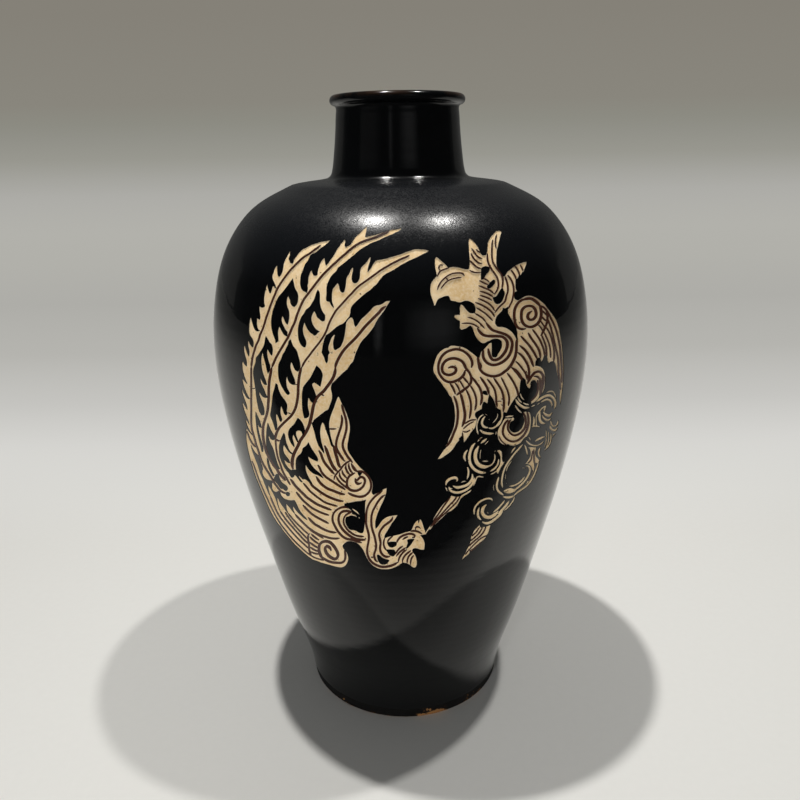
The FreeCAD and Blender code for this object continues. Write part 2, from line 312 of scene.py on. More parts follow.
     (427.5, 531.8), (425.6, 534.6, 1)],
]

# glaze that was left standing between the feathers
birdGaps = [
    [(292.7, 278.4, 1), (293.5, 282.5), (294.3, 286.2), (295.6, 289.6), (297.2, 292.2), (298, 295),
     (298, 299), (297.4, 302.5), (296.3, 304.8), (294.2, 307, 1), (292.2, 306), (290.5, 303.5),
     (289.8, 300), (288.1, 296.2, 1), (287.1, 297.6), (286.6, 300.5), (286.5, 304), (287.3, 307.2),
     (288.6, 310.3), (289.1, 314), (289, 318), (288.2, 322), (287.4, 324.6, 1), (285.8, 323.3),
     (284.5, 320.8), (283.5, 318), (282.5, 316, 1), (281.2, 318.8), (281.6, 321.8), (283, 325),
     (284.8, 328.8), (287.2, 332, 1), (286.5, 336.5), (284, 335), (282, 332), (280.5, 329),
     (279.4, 326.5, 1), (278.2, 329), (277.7, 333.5), (278, 337.5), (278, 341), (275.2, 343.3, 1),
     (275.5, 341), (274.5, 338.5), (272.7, 333.5), (271.5, 329), (271, 324), (271.2, 319), (272, 314),
     (273, 309.5), (274.7, 305), (276, 301.5), (279, 296), (282, 292.5), (285, 289), (288.5, 284),
     (291, 280.5)],
    [(317.7, 289.5, 1), (319.2, 292), (319.7, 296), (319.7, 300), (320, 304), (321.3, 309),
     (323, 312.5), (324.7, 314.8), (325, 318), (324.5, 320.4), (322.7, 321.6), (320.5, 320.4),
     (318.5, 318.6), (316.7, 317), (316, 314.5), (314.3, 311.2, 1), (313, 313), (311.7, 316),
     (311.2, 319), (311.8, 322), (313, 325), (314.6, 327.6), (317, 330), (319.8, 331.5, 1),
     (317.2, 333.5), (315.8, 335.2), (314.3, 335.8), (312.8, 334.4), (310.5, 333), (308, 330),
     (306.5, 327.5), (305.3, 325), (304.4, 322.4, 1), (303.4, 325.2), (302.7, 329), (303, 333),
     (304.3, 337), (305.6, 340), (306.2, 342.7), (305.8, 345.5), (305, 347.6, 1), (303, 347),
     (301, 345), (299.5, 342.5), (298.5, 339.5), (298, 336), (297.8, 332), (298, 328), (298.7, 324),
     (300, 320), (301.5, 316.5), (304.3, 312.8), (305.5, 310), (308, 308), (310.3, 305.8),
     (311.7, 303.3), (313.5, 300.4), (315, 296.5), (316.3, 292.3)],
    [(351.2, 312.5, 1), (350.2, 313), (349.5, 316), (347, 319), (345, 321.5), (343, 323.5),
     (340, 324.7), (337, 326.5), (334, 329), (331, 331.5), (328.5, 333.5), (326.5, 334.7, 1),
     (325.2, 336.5), (324.2, 339), (323.5, 342), (322.7, 345), (322.2, 348.5), (321.5, 352.5, 1),
     (323, 355.5), (324.2, 358), (325.2, 361.5), (326.5, 363.6, 1), (327.5, 362), (328, 358.5),
     (328.2, 355), (329.5, 353.5), (328.2, 349.5), (328.5, 346), (330, 342), (331, 339), (333, 336),
     (334.8, 334.8, 1), (333.7, 339), (333, 342.5), (333.2, 346), (333.7, 349), (335.2, 350.3),
     (337.5, 349), (340, 347.5), (341.5, 345), (343, 341.5), (344, 338), (344.7, 334), (345.2, 330),
     (345.7, 326), (346.5, 322), (348, 320), (350.6, 317.6, 1), (352.5, 315, 1)],
    [(265.7, 336, 1), (267.5, 339), (269.5, 342.5), (271.5, 344.5), (272.2, 347), (272.5, 351),
     (271.7, 355.7, 1), (270.5, 354.5), (269, 352), (267.2, 349, 1), (266.8, 353), (267.5, 358),
     (268.8, 362.5), (270, 366.5), (269.6, 370), (267.8, 373.8, 1), (266.6, 370), (265.8, 366),
     (264.5, 361), (263.5, 357), (262.4, 352, 1), (261.3, 357), (261, 363), (261.7, 369),
     (263.3, 375), (265, 379.5), (266.8, 385, 1), (265, 385), (263.3, 383.5), (261.5, 380.5),
     (260, 377, 1), (260.3, 381), (262, 386), (264, 390), (265.2, 393.5), (266.2, 395.8),
     (268.2, 396, 1), (268, 397.7, 1), (265, 397.9), (262.3, 396.6), (260.5, 394), (258.9, 391.3, 1),
     (259.3, 395.5), (260.8, 399.5), (262.6, 404), (263.9, 408.5), (264.2, 412), (263.8, 415.2, 1),
     (261.3, 415.2, 1), (259.3, 412), (257.9, 407.5), (256.8, 401.5), (255.9, 395), (255.3, 389.5),
     (254.4, 383.5), (253.6, 378), (253, 373), (253.3, 369), (254.5, 365), (255.5, 361.5),
     (256, 357.5), (258, 355), (260.5, 351), (263, 347), (264.5, 342.5), (265, 338.5)],
    [(255.6, 412, 1), (257, 415.5), (258.7, 419), (260.2, 423), (261.4, 427.8, 1), (260, 427.6),
     (258.3, 425.6), (257, 423, 1), (257.9, 428), (259, 433.5), (260.3, 438.5), (261.8, 443.5),
     (262.9, 448), (262.9, 452, 1), (261.5, 451.8, 1), (260.7, 448), (259.3, 442.5), (258, 437),
     (256.9, 431.5), (256.1, 426), (255.6, 420.5), (255.3, 416)],
    [(290.5, 339.5, 1), (291.7, 343), (293, 346), (295.5, 349), (297, 352), (298, 355.5),
     (299.2, 359.5), (300, 363.5), (300.2, 367), (298, 371.8, 1), (295.5, 370.5), (293.7, 367.5),
     (292.5, 364.5), (291.2, 362, 1), (290.3, 365), (290.3, 368.5), (291.6, 372.5), (293, 376),
     (294.5, 380), (295.3, 384.8, 1), (292.5, 384.8), (290, 383.5), (288, 380.5), (286.8, 376.3, 1),
     (286, 380), (286.2, 384), (287, 388), (288.8, 391.5), (289.6, 393.8), (288, 395.3, 1),
     (285.5, 393), (283.5, 390), (281.5, 386.5), (279.5, 382), (278.4, 377.5), (278, 373),
     (278, 367.5), (278.5, 364), (280.2, 360.5), (281.5, 357.5), (282.5, 354.5), (284.5, 351.5),
     (286, 348), (288, 344), (288.5, 341)],
    [(275.4, 383.3, 1), (277, 384.3), (278, 388.5), (279.7, 393), (282, 397), (284.5, 400.2),
     (286.6, 403.8), (287, 408), (286.6, 411.5), (287.3, 413.5), (286, 415.6, 1), (284.2, 414),
     (283, 411.3), (282, 408.3), (281, 405.8, 1), (280.4, 409), (280.2, 412), (280.7, 415.5),
     (281.7, 418.5), (281.9, 420.5), (281, 422.2, 1), (279.6, 420.8), (278.6, 418), (277.3, 415.3),
     (276.3, 413.7, 1), (275.8, 416.5), (276.1, 420.5), (276.8, 424.5), (277, 427.5), (276.3, 429.7),
     (275.2, 430.6, 1), (274.4, 427.5), (273.3, 424), (272, 420.5), (270.7, 417.5), (270, 414.5),
     (270.6, 411.5), (271.1, 408), (271.6, 404.5), (271.9, 401), (272.3, 397), (273, 393),
     (274, 389.5), (274.8, 386.5)],
    [(267.6, 422.8, 1), (269, 426.5), (270.5, 430), (272.5, 433.5), (274, 436), (275, 438),
     (274.8, 439.6, 1), (272.5, 440.2), (270.8, 439.3), (269.5, 437), (268.4, 434.8, 1),
     (268.4, 437.5), (269.3, 441), (270.6, 444), (272.4, 447.7), (273.9, 451.7), (274.9, 455.6),
     (275.8, 459), (276.9, 462.5), (278.1, 466), (279.9, 469, 1), (278.3, 469.4), (276, 467),
     (274, 464), (272.3, 461.8), (270.9, 459.8, 1), (270, 457.5), (268.8, 454.5), (267.8, 451.5),
     (266.7, 448.5), (266.2, 445), (266, 440), (266.1, 435), (266.3, 430.5), (266.9, 426.5)],
    [(316.3, 365.5, 1), (318.2, 367.2), (320.2, 369.2), (321.8, 372.3), (322.6, 375.5), (322, 379),
     (321.2, 383), (320.3, 386.8, 1), (318.3, 385.4), (316, 383.6), (314.5, 382.6), (312.8, 383.3),
     (312, 385.2, 1), (313, 388), (314.5, 391.5), (315.6, 394.5), (316.7, 397, 1), (316, 399.5),
     (314.8, 401.8), (313.3, 403.3, 1), (311.6, 402.5), (310, 400.3), (308.5, 397.6, 1), (307.8, 401),
     (307.6, 405), (308.2, 409.5), (309.2, 413.5), (308.8, 416.5), (306.5, 418.3, 1), (304.3, 418.3, 1),
     (303.3, 415), (302.5, 411), (302, 405), (301.8, 399), (302, 393), (302.9, 387.5, 1),
     (304.8, 384.5), (308, 380.6), (310.3, 377.5), (312.3, 373.7), (314.2, 370)],
    [(297.5, 418, 1), (295.7, 421.3), (294, 424), (291.8, 426.2), (289.8, 428.3), (288.4, 431),
     (288, 434.5), (288.6, 438), (290, 441.5), (291.8, 444.7), (294.3, 447.3, 1), (294, 444.3),
     (293, 441), (292.4, 437.8), (293.3, 434.7, 1), (294.8, 437.7), (296.2, 440.7), (297.9, 443, 1),
     (297.5, 439.7), (296.4, 436.5), (295.8, 433.5), (296.8, 431, 1), (299.2, 430.7), (301.3, 431.8),
     (302.2, 434), (302, 437), (300.5, 440, 1), (303, 438.5), (305, 434), (304.8, 430.5),
     (304, 427.5), (302.7, 424), (301, 421.2), (299.3, 419.3)],
    [(283.5, 432.8, 1), (284.6, 435), (285.2, 438.5), (286, 442.5), (287.5, 446.5), (289, 450),
     (291, 452.5), (293.3, 453.8, 1), (291.5, 454.2), (289.5, 452.8), (287.3, 450.3), (285.5, 447.5),
     (283.9, 445, 1), (283, 447.8), (283.3, 451.3), (284.6, 454.5), (286.5, 457), (288.5, 459.5),
     (290, 463.3, 1), (287.5, 462.7), (285.8, 461.3), (284, 460, 1), (284.8, 463), (286.5, 466),
     (288.4, 468.5), (290.5, 470.2, 1), (293.5, 469.8), (296, 470, 1), (295.6, 466), (295.6, 462),
     (296.2, 458.5), (298, 455.8), (300.3, 454), (302, 451.3), (302.7, 448), (305, 446.5),
     (307, 444.5), (308, 442.3, 1), (309.5, 445), (311, 448), (313, 451), (315, 454), (317, 457),
     (318, 460), (317.6, 461.7, 1), (315, 460.7), (312.5, 459.5), (310, 458), (308, 456.6, 1),
     (308.6, 459.7), (310, 463), (312.3, 466.3), (315, 469.5), (318, 472), (320.7, 474.3),
     (323.4, 478.4, 1), (321, 477.2), (318.3, 475.5), (315, 474.5), (312.3, 473), (309.8, 470.8),
     (307.5, 468), (305.6, 464.8, 1), (305.4, 468), (306, 471.3), (307.2, 474.8), (308.8, 478),
     (310.7, 481.2), (312.3, 484, 1), (311, 485, 1), (309, 482.5), (307, 480.6), (305, 479.5),
     (302.9, 479.6, 1), (300.6, 477.6), (298, 474.9, 1), (299, 477.5), (301, 480.2), (302.6, 482.5, 1),
     (301, 482.3), (298.9, 480), (297, 477.5), (295.6, 475.7), (294.2, 474.7, 1), (293.8, 477),
     (292.3, 477.8), (290.9, 477.4, 1), (290, 475.5), (288, 472.5), (286, 470), (284, 467),
     (282.5, 464), (281, 461), (280, 458), (279.2, 454.5), (279, 450), (279, 446), (279.8, 442),
     (281, 438.5), (282.5, 435)],
    [(250.7, 444.8, 1), (252.2, 448.3), (254.3, 451.8), (256.8, 454.6), (258.9, 456.3), (259.5, 459.5),
     (260.6, 463), (262, 466.5), (262.6, 469.3), (262, 472), (263.2, 476), (265.5, 479),
     (268.5, 480.3), (271.5, 480.8), (273.2, 483, 1), (271.8, 483.3), (271.8, 486), (271.9, 489),
     (273.3, 491.2), (276, 492.2), (278.7, 490.8), (279.9, 492.5), (280.6, 495), (282.3, 497.5),
     (284.8, 499.3), (288, 500.3), (291.5, 500.6), (294, 500.3), (295.5, 502.5), (297, 505.5),
     (298.3, 508.5), (300.5, 512), (303.3, 515.5), (305.8, 518.3), (307.2, 520.3, 1), (304.3, 518.6),
     (301, 515.8), (297.5, 512.3), (295, 509.2), (293, 506.2, 1), (292.9, 509), (293.8, 512),
     (295, 514.5, 1), (292.2, 511.2), (289.5, 507.6), (287.5, 505.4), (286, 503.5, 1), (286, 507),
     (286.8, 510.3), (288.1, 513.8, 1), (286, 511.2), (283.8, 508), (281.5, 505), (279.6, 502),
     (278.2, 499.2), (277, 497, 1), (277.2, 501), (278, 505), (279.3, 509.3), (280, 511.5, 1),
     (278, 507), (276.4, 501.8), (274.7, 497), (272.6, 492.8), (270.5, 489), (268, 484.8, 1),
     (268, 488), (268.8, 492), (270.2, 496.6, 1), (268.3, 493.2), (266.3, 488.5), (264.5, 484),
     (262.5, 479), (260.5, 474.5), (259, 470), (257.5, 465), (255.5, 460), (253.3, 454.3),
     (251.3, 448.5)],
    [(266.7, 457.5, 1), (268.5, 461), (269.2, 464.5), (270.5, 468), (272, 471.5), (274.5, 476, 1),
     (273.3, 476.5), (271.5, 474), (269.5, 470.5), (268, 466.5), (267, 462.5)],
    [(274.7, 476.5), (276, 474), (278, 474.3), (279, 477), (280, 480), (282, 483), (285, 485),
     (287, 487), (287.6, 489.3), (286.5, 491), (284.5, 490.5), (283, 489), (281.3, 489),
     (280.3, 488.5), (278.5, 485.8), (276.5, 483.3), (274.5, 481), (273.5, 479)],
    [(285.5, 492.5), (289, 492.8), (289.5, 495.8), (287.5, 496.3), (285.8, 494.8)],
    # the dark hollow between the breast and the scroll
    [(344.3, 503.8, 1), (350, 502.8), (355, 501.8), (360, 501.3), (366, 500, 1), (365.2, 503),
     (365, 507), (364.8, 512), (365.2, 517), (364.8, 522), (364.3, 527), (363.7, 531), (363, 533, 1),
     (361, 533.3), (358.5, 532.5), (356, 531), (353, 530.3), (350.5, 530), (348.5, 528.5),
     (346.5, 525.5), (345.3, 522), (345.3, 519), (346.3, 517), (349, 515), (352, 513.8),
     (351.5, 511.5), (349, 508.8), (346.5, 507.3), (344.8, 506.8)],
    [(357.5, 472, 1), (362.5, 472, 1), (361, 475), (359.5, 476.5, 1), (358, 474.5)],
    # the left bird's eye, cheek, throat and beak
    [(389.5, 542.2), (393, 542), (396.3, 542.5), (396.8, 544), (396, 546), (394, 547),
     (391.5, 547.7), (389.3, 546.8), (387.8, 545), (387.2, 543.2)],
    [(386, 550), (388.5, 549.8), (391.5, 549.8), (394.3, 550.2), (395.3, 551.5), (395.2, 554.3),
     (394, 556.2), (391.5, 556.2), (389.5, 555.2), (388, 553), (386.8, 551.7)],
    [(377, 555), (379.5, 555.5), (382, 557.5), (384, 558.8), (386.5, 559.5), (389.3, 560.5, 1),
     (388.3, 562.3), (386.5, 564), (384, 564.8), (381.5, 564.5), (379.5, 563), (378, 561),
     (377.2, 558)],
    [(407.2, 540.2), (410, 539.3), (414.4, 539.3, 1), (412.5, 542.5), (410.5, 545.3), (408, 548),
     (406.2, 549, 1), (406.7, 546), (407.8, 543)],
]

# narrow strips of bare clay, in those gaps and beside the cuts: width in pixels, then the points
birdStrips = [
    (1.6, [(352, 509), (354.5, 510.5), (357, 512.5), (359, 514.5)]),
    (1.4, [(346, 517), (349, 515.5), (352, 515), (354.5, 515.7), (356.7, 516.9)]),
    (1.6, [(358.2, 517.4), (359.4, 517.9), (359.8, 518.6)]),
]

# dark lines inside the carving: width in pixels, then the points
birdLines = [
    (1.8, [(320.5, 245), (318.7, 246.5), (313, 250.7), (310, 253), (305, 256), (300, 260), (295, 265),
           (290, 270.2), (286, 275.5), (283, 279.5), (280, 284), (277.5, 288), (275.5, 292.5),
           (272, 301), (270, 306), (268, 312), (266, 317.5), (264.5, 323), (262.5, 329), (260, 334.5),
           (258, 341), (256, 345), (254.2, 350.5), (252.5, 356.5), (251.5, 362.5), (251, 367.5)]),
    (2.2, [(389.2, 231), (385, 233), (380, 235.2), (375, 237.5), (370, 239), (365, 240.7),
           (360, 242.7), (355, 245.7), (350, 249.5), (345, 254), (340, 258.2), (336, 262),
           (332, 265.5), (328, 269.5), (324, 273.5), (320, 278), (316.5, 282.5), (313, 287),
           (310, 291), (307, 295), (304, 299), (300, 307), (298, 312), (296.2, 317), (294.5, 322.5),
           (292, 327.5), (290, 332.5), (288, 337), (285, 342), (282, 347), (279, 352), (276, 357.5),
           (273.5, 363), (271.5, 368)]),
    (2.0, [(409.5, 255.2), (406, 257), (401, 259), (396, 261.5), (391, 264), (386, 267), (381, 270),
           (375, 274.3), (370, 278), (365, 281.5), (360, 285), (356, 288.5), (352, 293), (348, 297),
           (344, 301.5), (340, 306), (336, 310.5), (333, 315.5), (330.5, 320), (328.5, 324.5),
           (327, 329), (325, 333.5), (323, 337), (320, 341.5), (316, 346.7), (312, 351.7),
           (310, 354.5), (306.5, 359), (303.5, 363.5), (301.5, 368)]),
    (3.0, [(386, 306), (382, 309), (379, 312.5), (375, 316.5), (371, 320.5), (367, 324.5),
           (363, 329), (359, 334), (355, 338.5), (351, 342.5), (347, 346.5), (343.5, 350.5),
           (340.5, 355), (338, 359.5), (336, 364), (335, 369)]),
    # the long quills, carried on through the left bird's body
    (1.7, [(251, 366), (251, 380), (251, 395), (251, 410), (251, 422), (251.8, 430), (253.5, 436),
           (255, 441), (256, 445), (258, 450.5), (259.5, 455.5), (261, 460), (262.8, 464), (265, 468),
           (267.5, 471.8), (269.8, 475.5), (272, 479), (274, 483), (276, 485.7), (278.5, 489),
           (281, 491.5), (284, 493), (287.5, 493.7)]),
    (1.3, [(246.5, 431), (248, 435), (249.5, 439), (252, 443.5), (255.5, 447.5)]),
    (1.2, [(251.5, 388.4), (253.5, 388.6), (255.8, 388)]),
    (2.4, [(271.5, 367), (270.3, 374), (269.3, 380), (268.7, 386), (268.5, 392), (268.4, 398),
           (268, 404), (267.5, 410), (266.5, 414.5), (264.9, 419.5), (263.3, 425), (262.7, 430),
           (262.8, 436), (263.6, 442), (265, 448), (266.5, 452.8), (268.3, 456.3), (270, 459.3),
           (272, 463), (274, 466), (276.5, 469), (278, 472), (280.5, 475), (283, 478), (285.5, 481)]),
    (2.6, [(301.5, 367), (300, 372), (299, 377), (298.3, 383), (298, 389), (297.9, 394), (297.2, 400),
           (296.2, 405), (295, 409), (293, 413), (290.5, 416.5), (288, 419), (285, 421.7),
           (282, 424.7), (279, 428), (277, 431.5), (275.6, 435.5), (275.3, 440)]),
    (1.6, [(275.3, 438), (275.5, 443), (276, 449), (276.8, 454), (277.6, 457.5), (278.7, 460.8),
           (280, 464.3), (281.2, 467.8), (282.4, 471.2), (284, 474.5), (286, 478), (288, 481.5),
           (290.2, 485.2)]),
    (1.6, [(274.8, 438.5), (276.5, 440), (278.5, 441), (281, 440.2)]),
    (1.4, [(295, 384.7), (298.3, 384.4)]),
    (1.3, [(287.8, 412.8), (290.8, 414)]),
    (3.2, [(335.2, 367), (335, 371.5), (334, 375.5), (332, 379.7), (329.5, 383.5), (326.5, 387.5),
           (323.5, 391.3), (320, 394.3), (317, 397.5), (314.8, 401.5), (313.3, 406), (312.3, 411),
           (311.3, 416), (310.2, 421), (309, 425.5), (307, 430), (304.8, 434), (302.3, 437.5),
           (300, 441), (298.3, 445), (296, 449.5), (294, 453.5), (292.6, 457.8), (292, 462),
           (292.2, 466), (293, 469.5)]),
    (2.0, [(320.5, 393.3), (322, 394.8), (324, 396)]),
    (1.6, [(328.3, 428.8), (332, 429.1), (336.3, 429)]),
    (3.0, [(333, 445), (334.3, 449), (335.3, 453), (336.5, 457), (337.5, 461), (338.5, 464.5),
           (340, 467.2), (341.8, 468)]),
    (2.4, [(341.2, 415), (342, 419.5), (341.6, 423.5), (340.5, 428), (339, 432.5), (337.6, 436.5),
           (336.5, 440.5), (336, 444), (336.1, 447), (337, 450), (338.6, 453), (340.5, 456),
           (342.5, 458.8), (344.5, 461.6)]),
    (2.4, [(341.3, 404.5), (343, 410), (344.6, 415), (345.8, 419.5), (346.4, 424), (346.4, 428),
           (345.6, 432.5), (344.5, 436.5), (343.3, 440.5), (342.6, 444.5), (343, 448), (344.2, 451),
           (345.8, 454), (348, 457.5), (350.8, 460.8), (352.5, 463)]),
    # comb lines across the left bird's body
    (2.2, [(290, 479), (292, 481.5), (294, 484.5), (297, 488), (300, 491), (303, 494), (306, 497),
           (309.5, 499.6), (313, 502), (317, 504.5), (321, 506.3), (326, 508.3), (331.5, 510.3)]),
    (1.7, [(303, 483), (305, 485.5), (307.5, 488.5), (310, 491.5), (313, 494), (316, 496.5),
           (319.5, 499), (323, 501.5), (327, 503.5), (332, 505), (337.5, 506.5)]),
    (2.2, [(309.5, 482), (311, 484.5), (313, 486.7), (316, 489), (319.5, 491.7), (323, 494),
           (327, 496.3), (331, 498.2), (335, 499.7), (339.5, 501), (343.5, 501.5)]),
    (2.4, [(316, 476.5), (318, 480), (320.5, 483.5), (324, 486.5), (328, 489), (332.5, 490.7),
           (337, 492.5), (341, 494), (345, 494.6)]),
    (2.1, [(317.5, 465), (319.5, 468), (321, 471.5), (323.5, 475), (326.5, 477.7), (331, 480.7),
           (336, 484), (340, 486.5), (343.5, 488.7), (345.3, 490)]),
    (2.4, [(318.5, 450.5), (320.5, 453.5), (322, 457.5), (324, 462), (326.5, 465.5), (329.5, 469),
           (332, 472), (334.5, 474.5)]),
    (3.0, [(324.3, 445.5), (326, 449.5), (327.6, 453.7), (329, 458), (330.6, 462), (332.5, 466),
           (334.7, 469), (337.5, 471.7)]),
    (1.8, [(296, 492), (299, 496), (302, 499.7), (305.5, 503), (309, 506), (312.5, 508.5),
           (316.5, 510.7), (320.5, 512.6), (325, 514.3), (329, 515.5)]),
    (1.9, [(302.5, 505), (305.5, 508.3), (309, 511.8), (312.5, 514.8), (316.5, 517.3), (320.5, 519.5),
           (324.5, 521.6), (328.7, 523.7)]),
    (2.0, [(308, 517.5), (311, 521), (314.5, 524.3), (318.5, 526.7), (322.5, 529), (327, 531),
           (332, 532.4), (336.5, 532.8)]),
    (1.8, [(295, 514.5), (299, 519), (302.5, 522.5), (306, 526), (309.5, 529), (313.5, 531.7),
           (317.5, 534), (321.5, 535.8), (326, 537.2), (331, 538.5), (336, 538.8), (339.5, 538.5)]),
    (1.0, [(306.5, 526), (311, 531), (315, 533.7), (319, 536.2), (323.5, 538.7)]),
    # long ribs of the lower wing
    (1.1, [(251.5, 461), (253.5, 465.5), (255.5, 471), (257.7, 477.5), (260, 483.3), (262.7, 489.5),
           (265.6, 496), (268, 501), (270.5, 506.5), (273, 511.5), (276.5, 518), (280.3, 524),
           (284, 529), (287.5, 533.5), (291.3, 538), (295.3, 542.2), (299.5, 546.3), (303.5, 550),
           (307.3, 553.2), (311, 555.8), (315, 558), (319.5, 559.5), (324, 560.6)]),
    (1.3, [(270.2, 496.4), (272, 501.5), (274.2, 506.5), (276.7, 512), (279.8, 517.3), (283.3, 522),
           (287.2, 526.8), (291, 531.4), (295, 535.8), (299, 540), (302.7, 543.4), (306, 546.4),
           (309, 549)]),
    (1.4, [(280, 511.3), (282, 514.5), (284.5, 518), (288, 522.5), (291.8, 526.8), (295.5, 531),
           (299.5, 535.3), (303, 539.2), (306, 542), (308.5, 544)]),
    (1.3, [(284.8, 512), (288, 517), (291.7, 522), (295.8, 527), (299.8, 531.5), (303.5, 535.3),
           (307, 539)]),
    (1.3, [(288.1, 513.6), (290.7, 517), (293.5, 520.3), (297, 524), (300.8, 527.6), (304.7, 531.4),
           (308.5, 534.5)]),
    # collar before the lower wing's spiral, with its short ribs
    (1.8, [(310, 533.5), (308.3, 535), (307.8, 537.5), (308, 540.5), (308.7, 543.5), (309, 546.5),
           (309, 549.5), (309.8, 552.5), (311.3, 555)]),
    (1.6, [(311, 534), (313.5, 536.5), (316.3, 538.6), (319, 540.4)]),
    (1.6, [(309.5, 536.8), (312.3, 539.6), (315.3, 542), (318.5, 544)]),
    (1.6, [(309.5, 542.3), (312.3, 544.6), (315.3, 546.7), (318.6, 548.4)]),
    (1.6, [(310, 547.3), (312.8, 549.2), (315.8, 550.8), (318.8, 551.8)]),
    (1.6, [(310.5, 551.8), (313.3, 553.2), (316.5, 554), (319.5, 554.4)]),
    (2.8, [(323, 559.3), (320.8, 556.2), (319.3, 552.5), (318.8, 548.5), (319.5, 544.8),
           (322, 542.3), (326, 541.5), (330, 542.7), (333, 545.5), (335.5, 549), (337.3, 552.5),
           (338, 555.5), (337, 558), (334.5, 559.3), (332, 558.3), (329, 556.3), (326.5, 553.5),
           (325.2, 550.5), (325.3, 547.5), (326.7, 546.3), (328.8, 547.3), (330.5, 549.3),
           (331, 551.2)]),
    (2.2, [(321.5, 557), (324.5, 559.3), (328, 561.2), (332, 562.5), (337, 563), (341.7, 562.8),
           (344, 561.5), (345, 559), (345.3, 556), (345, 553), (344.2, 550.5)]),
    # shoulder line and the spiral of the left bird's upper wing
    (1.9, [(334, 480), (334.5, 477), (336, 474.5), (338, 472), (340.5, 469.5), (342.5, 466.5),
           (345, 464), (348, 462), (351, 460.8)]),
    (1.8, [(336, 476.5), (338, 480), (340.5, 483), (343.5, 485.5), (346.5, 487.7), (349, 489.5)]),
    (1.8, [(339.3, 472.5), (339.5, 475.5), (341, 478.5), (343.5, 481), (346.5, 483)]),
    (1.8, [(341.8, 470), (342.5, 473), (344.5, 476), (347, 478.5)]),
    (2.0, [(346, 464.5), (345.5, 467.3), (346.5, 470.5), (348, 473), (350, 475)]),
    (2.0, [(349, 463), (348.6, 466), (349.5, 469), (351, 471.7), (353, 473.5)]),
    (2.8, [(351, 463.5), (352.5, 466.5), (354.5, 469.3), (356.5, 471.2), (358.5, 472)]),
    (2.2, [(356.5, 471.5), (361, 471.6), (364, 472.6), (366.7, 475), (369, 478), (370.5, 481.3),
           (371, 484.7), (370.8, 488), (369.5, 491.3), (367.5, 493.8), (364.5, 496), (361, 496.9),
           (357, 496.6), (353, 495.5), (350, 494.2), (347.7, 492.8)]),
    (2.4, [(355, 473), (352.7, 474.2), (350.5, 475.3), (348.5, 477.3), (347.2, 480), (346.8, 483),
           (347, 486), (348.5, 488.7), (351.2, 490.4), (354.7, 491), (358, 490.4), (361, 488.6),
           (363.4, 486), (364.6, 483), (364.8, 480.3), (363.5, 478), (361, 477.2), (358.8, 478.5),
           (357.3, 480.2), (355.8, 480), (354.7, 478.6)]),
    (2.4, [(355, 479), (355.6, 482), (357.2, 483.8), (359.5, 483.9), (361.6, 482.7)]),
    # the scroll on the left bird's breast
    (2.1, [(348.5, 508.5), (345.5, 507.2), (342, 507.5), (339, 508.6), (336, 510.6), (333.7, 513.2),
           (332.6, 516.3), (332.4, 520), (333.5, 523.7), (335.5, 527.7), (338, 531.8), (341, 535.3),
           (344, 537.8), (347.5, 539.2), (351, 539.8), (354.3, 540.6), (357.5, 541.8), (361.8, 543)]),
    (2.4, [(351.8, 512.2), (348, 511.3), (344.5, 511.3), (342, 512), (340, 513.7), (338.8, 516.7),
           (338.4, 520), (339.3, 524), (341, 527.5), (343.5, 530.7), (346.5, 533.6), (349.7, 536),
           (353, 538), (357, 539.5), (361, 540), (365.5, 540)]),
    (1.8, [(351.5, 512.7), (348.5, 513.6), (346, 515), (344.3, 517.2), (343.5, 520), (343.6, 523),
           (345, 526.5), (347.2, 529.6), (350, 532.2), (353.2, 534.5), (356.6, 536), (360, 536.6),
           (364, 536.8)]),
    # neck, crest and head of the left bird
    (2.2, [(382.7, 490.7), (379, 493.5), (375.5, 496.2), (372.5, 499.3), (369.6, 503), (367.8, 506.7),
           (366.7, 510.5), (366.2, 515), (366, 520), (366, 523.7), (366.6, 527), (367.6, 530.5),
           (368.5, 534), (368.8, 537.5), (368.5, 541.5), (367.8, 545), (367.1, 548.5), (367, 552),
           (367.7, 555.7), (369.2, 559), (371.5, 562), (374.5, 564.4), (378, 566), (382, 567),
           (386, 567), (390, 566.2), (394, 564.7), (398, 562.5)]),
    (2.2, [(385.2, 495), (382.5, 496.7), (379.5, 499.8), (377, 503.3), (375, 507), (373, 510.7),
           (371.8, 514.5), (371.2, 518.5), (371.2, 522.7), (371.6, 527), (372.6, 531), (374, 535),
           (375, 538.7), (375.7, 542.5), (376, 546.5), (375.6, 549.7), (374.7, 552.3), (374, 554.8),
           (374.4, 557.7), (375.6, 560.4), (377.7, 562.2)]),
    (2.2, [(392.7, 516.8), (391.8, 519.7), (389.5, 522), (386.5, 524.2), (383.6, 526.5),
           (381.4, 529.2), (379.8, 532), (379.1, 535), (379.6, 538), (380.3, 541), (380.6, 544),
           (380.1, 547), (380.1, 550), (381.1, 553), (383, 555.4), (385.6, 556.8), (390.2, 556.6)]),
    (1.8, [(370.8, 557.3), (373.2, 557.6)]),
    (1.8, [(384.7, 538), (383.7, 541.7), (383.6, 545), (384.6, 548), (386.3, 550.5)]),
    (1.6, [(387.3, 543.5), (388, 541), (389.5, 539), (391.3, 537.4), (393, 536.2)]),
    (2.0, [(396, 543.5), (397.8, 540.3), (400, 537.6), (403, 535.8), (406, 534.7), (409.5, 534),
           (413, 534.4), (414.8, 535.8), (414.3, 537.3), (412, 537.8)]),
    (1.8, [(402.5, 539.8), (405, 538.1), (408.2, 536.9)]),
    (1.8, [(410.3, 531.6), (414, 531), (417, 531.5), (419.5, 532.5), (422.3, 534.4)]),
    (1.6, [(415.9, 530.8), (415.5, 528.3), (416.5, 527), (418.2, 527), (420.6, 528.8)]),
    (1.8, [(395.3, 554.5), (397, 551.5), (399, 549.1), (401, 547.5), (403, 546.3)]),
